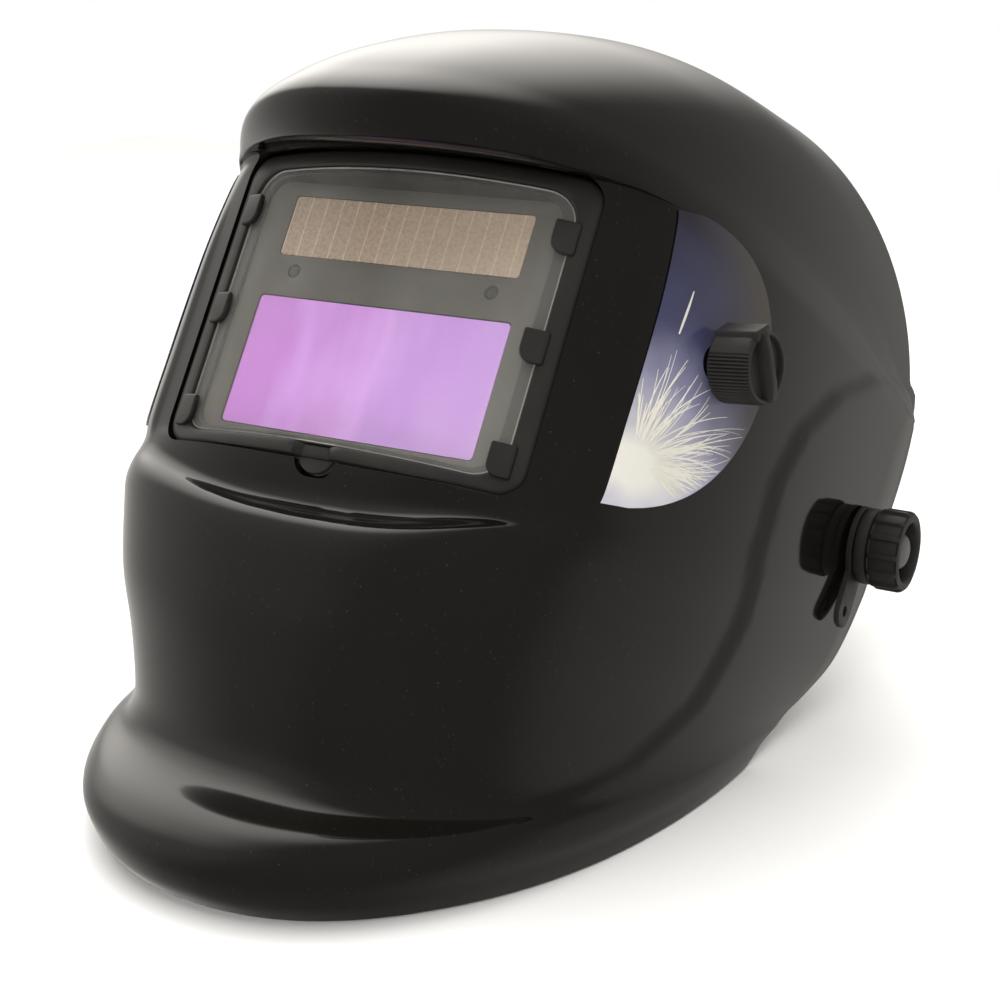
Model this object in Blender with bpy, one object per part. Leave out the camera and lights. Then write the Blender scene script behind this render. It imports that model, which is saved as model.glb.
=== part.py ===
"""Welding helmet: glossy shell, auto-darkening filter, shade knob and tilting headgear.

Lengths below are millimetres in helmet axes: +X to the wearer's left, -Y is the way
the wearer looks, +Z up, origin at the centre of the viewing glass.  The whole helmet
then leans back on its stance empty so that its lower rim lies flat on z = 0.
"""

import math

import bmesh
import bpy
import numpy as np
from mathutils import Matrix, Vector

MM = 0.001
LEAN = math.radians(20.0)          # how far the standing helmet leans back
RIM_DROP = 136.0                   # glass centre above the floor when standing
STAND_Y = -80.7                    # puts the middle of the helmet's footprint over the origin
SHELL_WALL = 2.5
LENS_TILT = math.radians(12.4)     # the lens plane leans back from vertical
LENS_RADIUS = 170.0                # curvature of the cover lens across its width
LENS_RISE = 13.0                   # frame front above the glass plane at mid width
FRAME_HALF = 65.2
FRAME_LOW, FRAME_HIGH = -31.0, 68.0
COVER_HALF = 58.5
COVER_LOW, COVER_HIGH = -26.5, 62.5
PIVOT_Y, PIVOT_Z = 150.0, -24.0    # headgear pivot axis, along X
SIDE_X = 114.7                     # shell side surface at the pivot
HEADGEAR_TILT = math.radians(9.0)  # headgear rests tipped back in the shell
SHADE_Y, SHADE_Z = 39.5, 20.0      # shade knob axis
KNOB_TURN = math.radians(30.0)     # its pointer leans this far to the front
PLATE_TURN = math.radians(20.0)    # and so do the limiter plates' tabs
HEAD_HALF_X = 79.0                 # headband's ellipse
HEAD_HALF_Y = 101.0
HEAD_Y = -4.0                      # its centre from the pivot axis
HEAD_Z = 44.0
HEAD_SLOPE = 0.20                  # the ring is higher in front
DECAL_LOW, DECAL_HIGH = -26.6, 62.9
DECAL_REACH, DECAL_MIDDLE, DECAL_HALF = 44.8, 18.3, 45.4
GAP = 0.3

# Shell sections from the chin rim to the crown edge:
# front y, z | flank y, z | rear y, z | half width | two roundness powers | fade width
SECTIONS = np.array([
    (-36, -160.0, -36, -160.0, 112, -104.8, 99.8, 2.20, 2.00, 100),
    (-46, -153.5, -46, -153.5, 116, -99.5, 101.0, 2.20, 2.00, 100),
    (-50, -146.0, -50, -146.0, 119, -96.0, 101.5, 2.30, 2.05, 100),
    (-43, -136.0, -43, -136.0, 123, -93.0, 102.0, 2.40, 2.10, 100),
    (-27, -125.0, -27, -125.0, 128, -90.0, 102.5, 2.50, 2.20, 100),
    (-21, -115.0, -21, -115.0, 133, -86.0, 103.0, 2.70, 2.30, 100),
    (-24, -94.0, -24, -94.0, 146, -78.0, 105.0, 2.95, 2.50, 100),
    (-28, -73.0, -28, -70.0, 160, -66.0, 108.0, 3.30, 2.80, 95),
    (-28, -57.5, -27, -51.0, 168, -52.0, 110.0, 3.55, 3.10, 88),
    (-27, -49.5, -25, -42.5, 170, -45.5, 110.9, 3.70, 3.25, 85),
    (-24, -45.6, -22.3, -37.0, 172, -41.5, 111.2, 3.70, 3.30, 85),
    (-17.5, -43.0, -19.3, -33.5, 173, -38.5, 111.4, 3.70, 3.35, 85),
    (-15, -38.5, -17.2, -30.0, 175, -33.5, 111.6, 3.70, 3.40, 85),
    (-16.5, -30.0, -16.2, -24.0, 177, -25.0, 112.0, 3.70, 3.50, 85),
    (-11, 0.0, -11, 0.0, 186, -3.0, 112.5, 3.70, 3.50, 85),
    (-4, 36.0, -4, 36.0, 193, 12.0, 112.0, 3.70, 3.40, 85),
    (3, 66.5, 3, 66.5, 196, 20.0, 111.5, 3.60, 3.10, 85),
    (-6, 70.0, 3.5, 69.0, 197, 22.0, 111.3, 3.58, 3.00, 90),
    (-29, 67.0, 4, 71.0, 197, 23.0, 111.2, 3.55, 2.90, 94),
    (-34, 72.0, 5, 74.5, 197, 24.0, 111.1, 3.45, 2.75, 96),
    (-31, 79.0, 7, 80.0, 198, 25.0, 111.0, 3.30, 2.55, 98),
    (-18, 90.0, 12, 89.5, 198, 26.0, 110.7, 3.00, 2.35, 98),
    (12, 107.0, 26, 105.0, 198, 27.0, 110.4, 2.70, 2.20, 98),
    (55, 124.0, 58, 123.0, 198, 28.0, 110.0, 2.45, 2.15, 95),
    (105, 134.5, 105, 134.5, 198, 29.0, 110.0, 2.35, 2.10, 95),
    (160, 137.0, 160, 137.0, 198, 30.0, 110.0, 2.35, 2.10, 95),
], dtype=float)
ROW_STEPS = (1, 1, 1, 2, 1, 2, 2, 1, 1, 1, 1, 1, 1, 2, 2, 2, 1, 2, 1, 1, 1, 2, 2, 2, 3)

# The raised border of the shell starts behind this line on each side (y, z).
STEP_LINE = np.array([
    (215, 38), (147, 34), (112, 23), (88, 8), (75, -10), (71, -32),
    (72, -55), (63, -82), (42, -102), (10, -118), (-25, -124),
], dtype=float)
STEP_HEIGHT = 2.2
STEP_BAND = 9.0

# The shell dips beside the lens frame to meet the frame's curved edge.
DISH_HALF, DISH_BAND, DISH_DEPTH = 86.0, 17.0, 6.0


# ---------------------------------------------------------------- materials

def material(name, colour, roughness=0.5, metallic=0.0, transmission=0.0):
    made = bpy.data.materials.new(name)
    made.use_nodes = True
    shader = made.node_tree.nodes["Principled BSDF"]
    shader.inputs["Base Color"].default_value = (*colour, 1.0)
    shader.inputs["Roughness"].default_value = roughness
    shader.inputs["Metallic"].default_value = metallic
    shader.inputs["Transmission Weight"].default_value = transmission
    made.diffuse_color = (*colour, 1.0)
    return made


# ------------------------------------------------------------ shell surface

def monotone(knots, values, at):
    """Shape-keeping cubic interpolation of each column of values."""
    step = np.diff(knots)[:, None]
    slope = np.diff(values, axis=0) / step
    tangent = np.zeros_like(values)
    before, after = slope[:-1], slope[1:]
    same = before * after > 0
    w1 = 2 * step[1:] + step[:-1]
    w2 = step[1:] + 2 * step[:-1]
    safe_before = np.where(same, before, 1.0)
    safe_after = np.where(same, after, 1.0)
    mean = (w1 + w2) / (w1 / safe_before + w2 / safe_after)
    tangent[1:-1] = np.where(same, mean, 0.0)
    tangent[0], tangent[-1] = slope[0], slope[-1]
    index = np.clip(np.searchsorted(knots, at, side="right") - 1, 0, len(knots) - 2)
    width = (knots[index + 1] - knots[index])[:, None]
    t = (at - knots[index])[:, None] / width
    return (
        (2 * t**3 - 3 * t**2 + 1) * values[index]
        + (t**3 - 2 * t**2 + t) * width * tangent[index]
        + (-2 * t**3 + 3 * t**2) * values[index + 1]
        + (t**3 - t**2) * width * tangent[index + 1]
    )


def smooth(t):
    t = np.clip(t, 0.0, 1.0)
    return t * t * (3 - 2 * t)


def behind_step(y, z):
    """Signed distance behind the step line, positive on the raised border."""
    point = np.stack([y, z], -1)
    best = np.full(np.shape(y), 1e9)
    side = np.zeros(np.shape(y))
    for start, end in zip(STEP_LINE[:-1], STEP_LINE[1:]):
        along = end - start
        share = np.clip(((point - start) @ along) / (along @ along), 0, 1)
        nearest = start + share[..., None] * along
        away = np.linalg.norm(point - nearest, axis=-1)
        turn = along[0] * (point[..., 1] - start[1]) - along[1] * (point[..., 0] - start[0])
        closer = away < best
        best = np.where(closer, away, best)
        side = np.where(closer, np.sign(turn), side)
    return best * side


def section_points(section, angles):
    front_y, front_z, flank_y, flank_z, rear_y, rear_z, half, p, q, fade = section
    cosine, sine = np.abs(np.cos(angles)), np.sin(angles)
    x = half * np.sign(sine) * np.abs(sine) ** (2 / p)
    back = 1 - cosine ** (2 / q)
    y = flank_y + (rear_y - flank_y) * back
    z = flank_z + (rear_z - flank_z) * back
    near = 0.5 + 0.5 * np.cos(np.pi * np.clip(np.abs(x) / fade, 0, 1) ** 1.3)
    y = y + (front_y - flank_y) * near
    z = z + (front_z - flank_z) * near
    lateral = smooth((np.abs(x) / half - 0.55) / 0.35)
    raised = smooth(behind_step(y, z) / STEP_BAND + 0.5)
    x = x + np.sign(x) * STEP_HEIGHT * raised * lateral
    return np.stack([x, y, z], -1)


def row_knots():
    run = np.hypot(*np.diff(SECTIONS[:, 0:2], axis=0).T) + 5.0
    return np.concatenate([[0.0], np.cumsum(run)])


def shell_grid(row_at, angles):
    rows = monotone(row_knots(), SECTIONS, np.asarray(row_at, dtype=float))
    return dished(np.stack([section_points(row, angles) for row in rows]))


def dished(grid):
    """Lowers the shell beside the lens frame to meet the frame's curved edge."""
    x, y, z = np.moveaxis(grid, -1, 0)
    up = y * math.sin(LENS_TILT) + z * math.cos(LENS_TILT)
    out = -y * math.cos(LENS_TILT) + z * math.sin(LENS_TILT)
    beside = smooth((DISH_HALF - np.abs(x)) / DISH_BAND)
    level = smooth((up - FRAME_LOW + 4.0) / 10.0) * smooth((FRAME_HIGH + 3.0 - up) / 10.0)
    edge = np.minimum(np.abs(x), FRAME_HALF + 8.0)
    rest = LENS_RISE - LENS_RADIUS + np.sqrt(LENS_RADIUS**2 - edge**2) + 0.7
    drop = beside * level * np.clip(out - rest, 0.0, DISH_DEPTH)
    return grid + drop[..., None] * np.array([0, math.cos(LENS_TILT), -math.sin(LENS_TILT)])


def grid_normals(grid):
    across = np.gradient(grid, axis=1)
    along = np.gradient(grid, axis=0)
    normal = np.cross(across, along)
    return normal / np.maximum(np.linalg.norm(normal, axis=-1, keepdims=True), 1e-9)


def side_spot(y, z):
    """Point and outward normal of the shell's left side at height z, depth y."""
    knots = row_knots()
    span = np.array([knots[-1], math.pi / 2])

    def at(param):
        return shell_grid([param[0]], np.array([param[1]]))[0, 0]

    rough_rows = np.linspace(0, knots[-1], 60)
    rough_angles = np.linspace(0.35, math.pi / 2, 60)
    rough = shell_grid(rough_rows, rough_angles)
    miss = np.hypot(rough[..., 1] - y, rough[..., 2] - z)
    i, j = np.unravel_index(np.argmin(miss), miss.shape)
    spot = np.array([rough_rows[i], rough_angles[j]])
    for _ in range(25):
        here = at(spot)
        error = np.array([y, z]) - here[1:]
        if np.hypot(*error) < 1e-4:
            break
        small = np.array([0.05, 0.0005])
        jac = np.stack([
            (at(spot + [small[0], 0]) - at(spot - [small[0], 0]))[1:] / (2 * small[0]),
            (at(spot + [0, small[1]]) - at(spot - [0, small[1]]))[1:] / (2 * small[1]),
        ], axis=1)
        move = np.linalg.lstsq(jac, error, rcond=None)[0]
        spot = np.clip(spot + np.clip(move, -0.1 * span, 0.1 * span), 0, span * 0.9999)
    here = at(spot)
    d_row = at(spot + [0.2, 0]) - at(spot - [0.2, 0])
    d_angle = at(spot + [0, 0.002]) - at(spot - [0, 0.002])
    normal = np.cross(d_angle, d_row)
    return here, normal / np.linalg.norm(normal)


# ------------------------------------------------------------ mesh building

def add_object(name, verts, faces, finish, parent, origin=(0, 0, 0)):
    """One mesh object from millimetre points in its parent's axes."""
    mesh = bpy.data.meshes.new(name)
    start = Vector(origin)
    mesh.from_pydata([(Vector(v) - start) * MM for v in verts], [], faces)
    work = bmesh.new()
    work.from_mesh(mesh)
    bmesh.ops.remove_doubles(work, verts=work.verts, dist=1e-6)
    bmesh.ops.recalc_face_normals(work, faces=work.faces)
    work.to_mesh(mesh)
    work.free()
    mesh.validate()
    made = bpy.data.objects.new(name, mesh)
    bpy.context.scene.collection.objects.link(made)
    made.parent = parent
    made.location = start * MM
    if finish is not None:
        mesh.materials.append(finish)
    return made


def combine(target, tool, operation):
    """Boolean the tool into the target's mesh and drop the tool."""
    modifier = target.modifiers.new("combine", "BOOLEAN")
    modifier.operation = operation
    modifier.solver = "EXACT"
    modifier.object = tool
    depsgraph = bpy.context.evaluated_depsgraph_get()
    made = bpy.data.meshes.new_from_object(target.evaluated_get(depsgraph))
    target.modifiers.clear()
    old = target.data
    target.data = made
    made.name = old.name
    bpy.data.meshes.remove(old)
    tool_mesh = tool.data
    bpy.data.objects.remove(tool)
    bpy.data.meshes.remove(tool_mesh)
    work = bmesh.new()
    work.from_mesh(made)
    bmesh.ops.remove_doubles(work, verts=work.verts, dist=2e-6)
    bmesh.ops.dissolve_degenerate(work, dist=1e-6, edges=work.edges)
    work.to_mesh(made)
    work.free()
    return target


def extrude(outline, low, high):
    """Verts and faces of a flat outline pushed from low to high along Z."""
    count = len(outline)
    verts = [(x, y, low) for x, y in outline] + [(x, y, high) for x, y in outline]
    faces = [tuple(reversed(range(count))), tuple(range(count, 2 * count))]
    for i in range(count):
        j = (i + 1) % count
        faces.append((i, j, count + j, count + i))
    return verts, faces


def rings(loops, close_ends=True, close_round=False):
    """Join equal loops of points into a tube; cap its ends or close it on itself."""
    count = len(loops[0])
    verts = [tuple(p) for loop in loops for p in loop]
    faces = []
    last = len(loops) if close_round else len(loops) - 1
    for k in range(last):
        a, b = k * count, ((k + 1) % len(loops)) * count
        for i in range(count):
            j = (i + 1) % count
            faces.append((a + i, a + j, b + j, b + i))
    if close_ends and not close_round:
        faces.append(tuple(reversed(range(count))))
        faces.append(tuple(range((len(loops) - 1) * count, len(loops) * count)))
    return verts, faces


def turned(profile, segments, hollow=False, waves=0, wave_rows=(), depth=0.0):
    """Body turned about Z from (radius, z) pairs; flutes cut in the named rows."""
    loops = []
    for row, (radius, z) in enumerate(profile):
        loop = []
        for k in range(segments):
            angle = 2 * math.pi * k / segments
            cut = depth if row in wave_rows and k % (segments // waves) < 2 else 0.0
            r = radius - cut
            loop.append((r * math.cos(angle), r * math.sin(angle), z))
        loops.append(loop)
    return rings(loops, close_ends=not hollow, close_round=hollow)


def placed(verts, matrix):
    return [tuple(matrix @ Vector(v)) for v in verts]


def axis_matrix(point, axis, up=(0, 0, 1)):
    """Local Z onto the given axis, local Y as near up as it can be, at point."""
    z_axis = Vector(axis).normalized()
    x_axis = Vector(up).cross(z_axis).normalized()
    y_axis = z_axis.cross(x_axis)
    turn = Matrix((x_axis, y_axis, z_axis)).transposed().to_4x4()
    return Matrix.Translation(Vector(point)) @ turn


def disc_outline(radius, segments, centre=(0.0, 0.0)):
    return [
        (
            centre[0] + radius * math.cos(2 * math.pi * k / segments),
            centre[1] + radius * math.sin(2 * math.pi * k / segments),
        )
        for k in range(segments)
    ]


def rounded_box(width, height, radius, steps=4, centre=(0.0, 0.0)):
    points = []
    for sx, sy, start in ((1, 1, 0), (-1, 1, 90), (-1, -1, 180), (1, -1, 270)):
        for k in range(steps + 1):
            angle = math.radians(start + 90 * k / steps)
            points.append((
                centre[0] + sx * (width / 2 - radius) + radius * math.cos(angle),
                centre[1] + sy * (height / 2 - radius) + radius * math.sin(angle),
            ))
    return points


# ------------------------------------------------------------- lens geometry

def lens_point(x, up, out):
    """From lens axes (across, up the glass, out of the glass) to helmet axes."""
    return (
        x,
        up * math.sin(LENS_TILT) - out * math.cos(LENS_TILT),
        up * math.cos(LENS_TILT) + out * math.sin(LENS_TILT),
    )


def lens_matrix(x=0.0, up=0.0, out=0.0, flip=False):
    """Local X across, local Y up the glass, local Z out of it; flip faces inward."""
    x_axis = Vector((-1, 0, 0)) if flip else Vector((1, 0, 0))
    y_axis = Vector(lens_point(0, 1, 0))
    turn = Matrix((x_axis, y_axis, x_axis.cross(y_axis))).transposed().to_4x4()
    return Matrix.Translation(Vector(lens_point(x, up, out))) @ turn


def bulge(x):
    return LENS_RISE - (LENS_RADIUS - math.sqrt(LENS_RADIUS**2 - x * x))


def columns(half, low, high, radius, steps=4, middle=14):
    """Across positions with the low and high end of a rounded rectangle there."""
    spots = []
    for k in range(steps + 1):
        angle = math.radians(90 * k / steps)
        spots.append((half - radius + radius * math.cos(angle), radius * (1 - math.sin(angle))))
    outer = [(x, low + inset, high - inset) for x, inset in spots]
    span = half - radius
    inner = [(span - 2 * span * k / middle, low, high) for k in range(1, middle)]
    mirror = [(-x, a, b) for x, a, b in reversed(outer)]
    return outer + inner + mirror


def curved_plate(cols, back, front):
    """Solid between two curved faces over the given columns, in helmet axes."""
    loops = []
    for x, low, high in cols:
        b = back(x) if callable(back) else back
        f = front(x) if callable(front) else front
        loops.append([
            lens_point(x, low, b), lens_point(x, high, b),
            lens_point(x, high, f), lens_point(x, low, f),
        ])
    return rings(loops)


def lens_block(outline, low, high):
    """Flat outline in lens axes pushed from low to high out of the glass."""
    verts, faces = extrude(outline, low, high)
    return [lens_point(*v) for v in verts], faces


# -------------------------------------------------------------------- shell

def make_shell(parent):
    knots = row_knots()
    row_at = [0.0]
    for k, steps in enumerate(ROW_STEPS):
        for i in range(1, steps + 1):
            row_at.append(knots[k] + (knots[k + 1] - knots[k]) * i / steps)
    share = np.linspace(-1, 1, 37)
    angles = np.sign(share) * np.abs(share) ** 0.92 * math.pi / 2
    outer = shell_grid(row_at, angles)
    inner = outer - SHELL_WALL * grid_normals(outer)
    rows, cols = outer.shape[:2]
    verts = [tuple(p) for p in outer.reshape(-1, 3)] + [tuple(p) for p in inner.reshape(-1, 3)]
    shift = rows * cols
    faces = []
    for i in range(rows - 1):
        for j in range(cols - 1):
            a, b = i * cols + j, i * cols + j + 1
            c, d = a + cols, b + cols
            faces.append((a, b, d, c))
            faces.append((shift + a, shift + c, shift + d, shift + b))
    for i in range(rows - 1):
        for j in (0, cols - 1):
            a, c = i * cols + j, (i + 1) * cols + j
            faces.append((a, c, shift + c, shift + a))
    for j in range(cols - 1):
        for i in (0, rows - 1):
            a, b = i * cols + j, i * cols + j + 1
            faces.append((a, b, shift + b, shift + a))
    finish = material("shell_gloss", (0.012, 0.011, 0.010), 0.12)
    shell = add_object("shell", verts, faces, finish, parent)

    window = columns(FRAME_HALF + 0.45, FRAME_LOW - 0.45, FRAME_HIGH + 0.45, 8.4)
    tool = curved_plate(window, -14.0, lambda x: max(bulge(x) + 3.5, 7.6))
    combine(shell, add_object("tool", *tool, None, parent), "DIFFERENCE")
    below = extrude([(-200, -250), (200, -250), (200, 250), (-200, 250)], -15.0, 0.0)
    combine(shell, add_object("tool", *below, None, None), "DIFFERENCE")
    relief = rounded_box(14.4, 12.0, 5.0, 4, (0, FRAME_LOW + 0.6))
    tool = add_object("tool", *lens_block(relief, 5.0, 40.0), None, parent)
    combine(shell, tool, "DIFFERENCE")
    for side in (1, -1):
        turn = axis_matrix((side * 90, PIVOT_Y, PIVOT_Z), (side, 0, 0))
        verts, faces = extrude(disc_outline(4.2, 16), 0, 40)
        combine(shell, add_object("tool", placed(verts, turn), faces, None, parent), "DIFFERENCE")
    spot, axis = shade_mount()
    verts, faces = extrude(disc_outline(4.2, 16), -14, 14)
    tool = add_object("tool", placed(verts, axis_matrix(spot, axis)), faces, None, parent)
    return combine(shell, tool, "DIFFERENCE")


# ---------------------------------------------------------------- lens block

def make_frame(parent):
    finish = material("frame_satin", (0.018, 0.017, 0.016), 0.5)
    blank = columns(FRAME_HALF, FRAME_LOW, FRAME_HIGH, 8.0)
    frame = add_object("lens_frame", *curved_plate(blank, -9.0, bulge), finish, parent)
    flange = rounded_box(138.6, 107.0, 10.0, 4, (0, 18.5))
    combine(frame, add_object("tool", *lens_block(flange, -9.0, -6.5), None, parent), "UNION")

    tongue = [(6.5 * math.cos(math.radians(a)), FRAME_LOW + 1.5 + 6.0 * math.sin(math.radians(a)))
              for a in range(180, 361, 20)]
    tongue = tongue + [(6.5, FRAME_LOW + 3.0), (-6.5, FRAME_LOW + 3.0)]
    combine(frame, add_object("tool", *lens_block(tongue, 9.0, 12.6), None, parent), "UNION")

    rebate = columns(COVER_HALF + GAP, COVER_LOW - GAP, COVER_HIGH + GAP, 10.3)
    tool = curved_plate(rebate, lambda x: bulge(x) - 2.2, 40.0)
    combine(frame, add_object("tool", *tool, None, parent), "DIFFERENCE")
    window = rounded_box(108.0, 85.0, 7.0, 4, (0, 18.0))
    combine(frame, add_object("tool", *lens_block(window, -20.0, 40.0), None, parent), "DIFFERENCE")
    pocket = rounded_box(110.8, 90.8, 1.0, 1, (0, 16.0))
    combine(frame, add_object("tool", *lens_block(pocket, -20.0, 0.55), None, parent), "DIFFERENCE")
    notch = rounded_box(9.0, 12.0, 3.0, 3, (0, FRAME_LOW + 3.6))
    combine(frame, add_object("tool", *lens_block(notch, 10.6, 40.0), None, parent), "DIFFERENCE")

    for side in (1, -1):
        for up in (48.5, 14.2, -20.8):
            tab = curved_plate(tab_columns(side, up), lambda x: bulge(x) - 0.75,
                               lambda x: bulge(x) + 1.1)
            combine(frame, add_object("tool", *tab, None, parent), "UNION")
    return frame


def tab_columns(side, up):
    """D-shaped retaining tab: square top, rounded lower corner toward the lens."""
    rows = [(54.0, 2.9, 5.0), (54.6, 1.4, 5.1), (55.8, 0.4, 5.1), (57.6, 0.0, 5.1), (62.0, 0.1, 5.1)]
    return [(side * x, up - 5.1 + lift, up + top) for x, lift, top in rows]


def make_optics(parent):
    cover = columns(COVER_HALF, COVER_LOW, COVER_HIGH, 10.0, 5, 16)
    plate = curved_plate(cover, lambda x: bulge(x) - 1.95, lambda x: bulge(x) - 1.0)
    clear = material("cover_clear", (0.9, 0.92, 0.9), 0.05, 0.0, 1.0)
    add_object("front_cover_lens", *plate, clear, parent)

    housing_finish = material("cartridge_black", (0.03, 0.028, 0.026), 0.45)
    body = rounded_box(110.0, 90.0, 1.5, 2, (0, 16.0))
    housing = add_object("filter_housing", *lens_block(body, -9.0, 0.2), housing_finish, parent)
    pockets = [
        (rounded_box(93.0, 43.6, 1.4, 2), -20.0, 20.0),
        (rounded_box(88.6, 20.8, 1.4, 2, (0, 45.8)), -1.6, 20.0),
        (disc_outline(2.4, 12, (-36.5, 30.3)), -1.5, 20.0),
        (disc_outline(2.4, 12, (36.5, 30.3)), -1.5, 20.0),
        (disc_outline(7.4, 16, (-24.0, 44.0)), -20.0, -5.6),
        (disc_outline(7.4, 16, (24.0, 44.0)), -20.0, -5.6),
    ]
    for outline, low, high in pockets:
        tool = add_object("tool", *lens_block(outline, low, high), None, parent)
        combine(housing, tool, "DIFFERENCE")

    glass = material("filter_violet", (0.58, 0.30, 0.66), 0.12)
    add_object("filter_glass", *lens_block(rounded_box(92.2, 42.8, 1.0, 2), -7.8, -0.2), glass, parent)
    cells = material("solar_brown", (0.28, 0.22, 0.16), 0.35)
    panel = rounded_box(88.0, 20.2, 1.0, 2, (0, 45.8))
    add_object("solar_panel", *lens_block(panel, -1.3, -0.1), cells, parent)
    sensor = material("sensor_dark", (0.05, 0.05, 0.06), 0.15)
    for name, x in (("arc_sensor_right", -36.5), ("arc_sensor_left", 36.5)):
        add_object(name, *lens_block(disc_outline(2.1, 12, (x, 30.3)), -1.2, 0.1), sensor, parent)

    dial = material("dial_black", (0.02, 0.02, 0.02), 0.4)
    for name, x in (("sensitivity_dial", 24.0), ("delay_dial", -24.0)):
        profile = [(6.2, 0.0), (6.9, 0.5), (6.9, 2.4), (6.5, 2.8)]
        verts, faces = turned(profile, 36, waves=9, wave_rows=(1, 2), depth=0.35)
        turn = lens_matrix(x, 44.0, -5.9, flip=True)
        made = add_object(name, placed(verts, turn), faces, dial, parent, lens_point(x, 44.0, -7.0))
        slot = rounded_box(1.4, 9.0, 0.3, 1, (0, 1.2))
        verts, faces = extrude(slot, 2.0, 5.0)
        combine(made, add_object("tool", placed(verts, turn), faces, None, parent), "DIFFERENCE")

    inner = rounded_box(103.0, 50.0, 2.0, 2)
    add_object("inner_cover_lens", *lens_block(inner, -10.3, -9.3), clear, parent)

    retainer = rounded_box(125.0, 98.0, 5.0, 3, (0, 16.0))
    rest = add_object("filter_retainer", *lens_block(retainer, -12.0, -9.3), housing_finish, parent)
    opening = rounded_box(104.6, 84.0, 2.0, 2, (0, 16.0))
    tool = add_object("tool", *lens_block(opening, -20.0, 0.0), None, parent)
    combine(rest, tool, "DIFFERENCE")


# -------------------------------------------------------------- shade control

def shade_mount():
    """Where the shade control passes through the shell, and its axis."""
    spot, normal = side_spot(SHADE_Y, SHADE_Z)
    axis = Vector(normal) * 0.4 + Vector((1, 0, 0)) * 0.6
    return tuple(spot), tuple(axis.normalized())


def make_shade_control(parent):
    spot, axis = shade_mount()
    turn = axis_matrix(spot, axis)
    black = material("knob_black", (0.02, 0.019, 0.018), 0.55)
    pointing = turn @ Matrix.Rotation(KNOB_TURN, 4, "Z")
    profile = [(10.8, 3.2), (11.4, 4.0), (11.4, 16.4), (10.9, 17.3), (9.9, 17.3), (9.3, 15.7)]
    verts, faces = turned(profile, 72)
    base = placed(verts, turn)
    centre = tuple(turn @ Vector((0, 0, 10.0)))
    knob = add_object("shade_knob", base, faces, black, parent, centre)
    lug = [(-4.2, 8.0), (4.2, 8.0), (3.7, 12.2), (-3.7, 12.2)]
    fin = [(-2.4, -10.6), (2.6, -10.6), (2.0, 11.4), (-1.8, 11.4)]
    for outline, low, high in ((lug, 3.7, 17.7), (fin, 14.5, 19.2)):
        verts, faces = extrude(outline, low, high)
        combine(knob, add_object("tool", placed(verts, pointing), faces, None, parent), "UNION")
    bore = extrude(disc_outline(3.25, 16), 0.0, 11.0)
    combine(knob, add_object("tool", placed(bore[0], turn), bore[1], None, parent), "DIFFERENCE")

    metal = material("pot_metal", (0.45, 0.44, 0.42), 0.35, 0.9)
    body = [(11.0, -15.0), (11.0, -6.9), (3.7, -6.7), (3.7, 2.6), (2.9, 2.8), (2.9, 9.0)]
    verts, faces = turned(body, 24)
    add_object("shade_potentiometer", placed(verts, turn), faces, metal, parent)
    verts, faces = extrude(disc_outline(5.4, 6), 1.6, 2.9)
    nut = add_object("shade_nut", placed(verts, turn), faces, metal, parent)
    bore = extrude(disc_outline(4.0, 16), 0.0, 5.0)
    combine(nut, add_object("tool", placed(bore[0], turn), bore[1], None, parent), "DIFFERENCE")

    start = turn @ Vector((-6.0, 0, -15.7))
    path = [start, start + Vector((-5, 2, -2)), Vector((76, 40, 14)), Vector((66, 30, 17)),
            Vector(lens_point(56.0, 28.0, -17.5)), Vector(lens_point(49.6, 30.0, -15.5)),
            Vector(lens_point(49.0, 30.0, -9.4))]
    cable = material("cable_black", (0.015, 0.015, 0.015), 0.6)
    add_object("shade_cable", *tube(curve_through(path, 4), 1.3, 6), cable, parent)


def curve_through(points, per_span):
    """Catmull-Rom points through the given path."""
    path = [points[0] * 2 - points[1]] + list(points) + [points[-1] * 2 - points[-2]]
    found = []
    for k in range(1, len(path) - 2):
        p0, p1, p2, p3 = path[k - 1], path[k], path[k + 1], path[k + 2]
        for i in range(per_span):
            t = i / per_span
            found.append(0.5 * (2 * p1 + (p2 - p0) * t + (2 * p0 - 5 * p1 + 4 * p2 - p3) * t * t
                                + (3 * p1 - p0 - 3 * p2 + p3) * t**3))
    found.append(Vector(points[-1]))
    return found


def tube(points, radius, sides):
    loops = []
    side = Vector((0, 0, 1))
    for k, point in enumerate(points):
        ahead = points[min(k + 1, len(points) - 1)] - points[max(k - 1, 0)]
        ahead.normalize()
        side = (side - ahead * side.dot(ahead)).normalized()
        other = ahead.cross(side)
        loops.append([
            point + radius * (side * math.cos(2 * math.pi * s / sides)
                              + other * math.sin(2 * math.pi * s / sides))
            for s in range(sides)
        ])
    return rings(loops)


# ------------------------------------------------------------------- decals

def make_decal(parent, side):
    """Half-round sticker on the temple, a fraction of a millimetre proud."""
    name = "decal_left" if side > 0 else "decal_right"
    finish = material(name + "_print", (0.32, 0.33, 0.50), 0.3)
    loops = []
    steps = 20
    for k in range(steps + 1):
        z = DECAL_LOW + (DECAL_HIGH - DECAL_LOW) * k / steps
        front = 12.3 + 0.245 * z
        reach = DECAL_REACH * math.sqrt(max(1 - ((z - DECAL_MIDDLE) / DECAL_HALF) ** 2, 0.0)) + 0.6
        row = [side_spot(front + reach * i / 7, z) for i in range(8)]
        under = [s + n * 0.50 for s, n in row]
        over = [s + n * 0.72 for s, n in row]
        loop = over + under[::-1]
        loops.append([(side * p[0], p[1], p[2]) for p in loop])
    decal = add_object(name, *rings(loops), finish, parent)
    if side > 0:
        spot, axis = shade_mount()
        verts, faces = extrude(disc_outline(6.2, 24), -6.0, 10.0)
        tool = add_object("tool", placed(verts, axis_matrix(spot, axis)), faces, None, parent)
        combine(decal, tool, "DIFFERENCE")
    return decal


# ------------------------------------------------------------ pivot hardware

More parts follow.
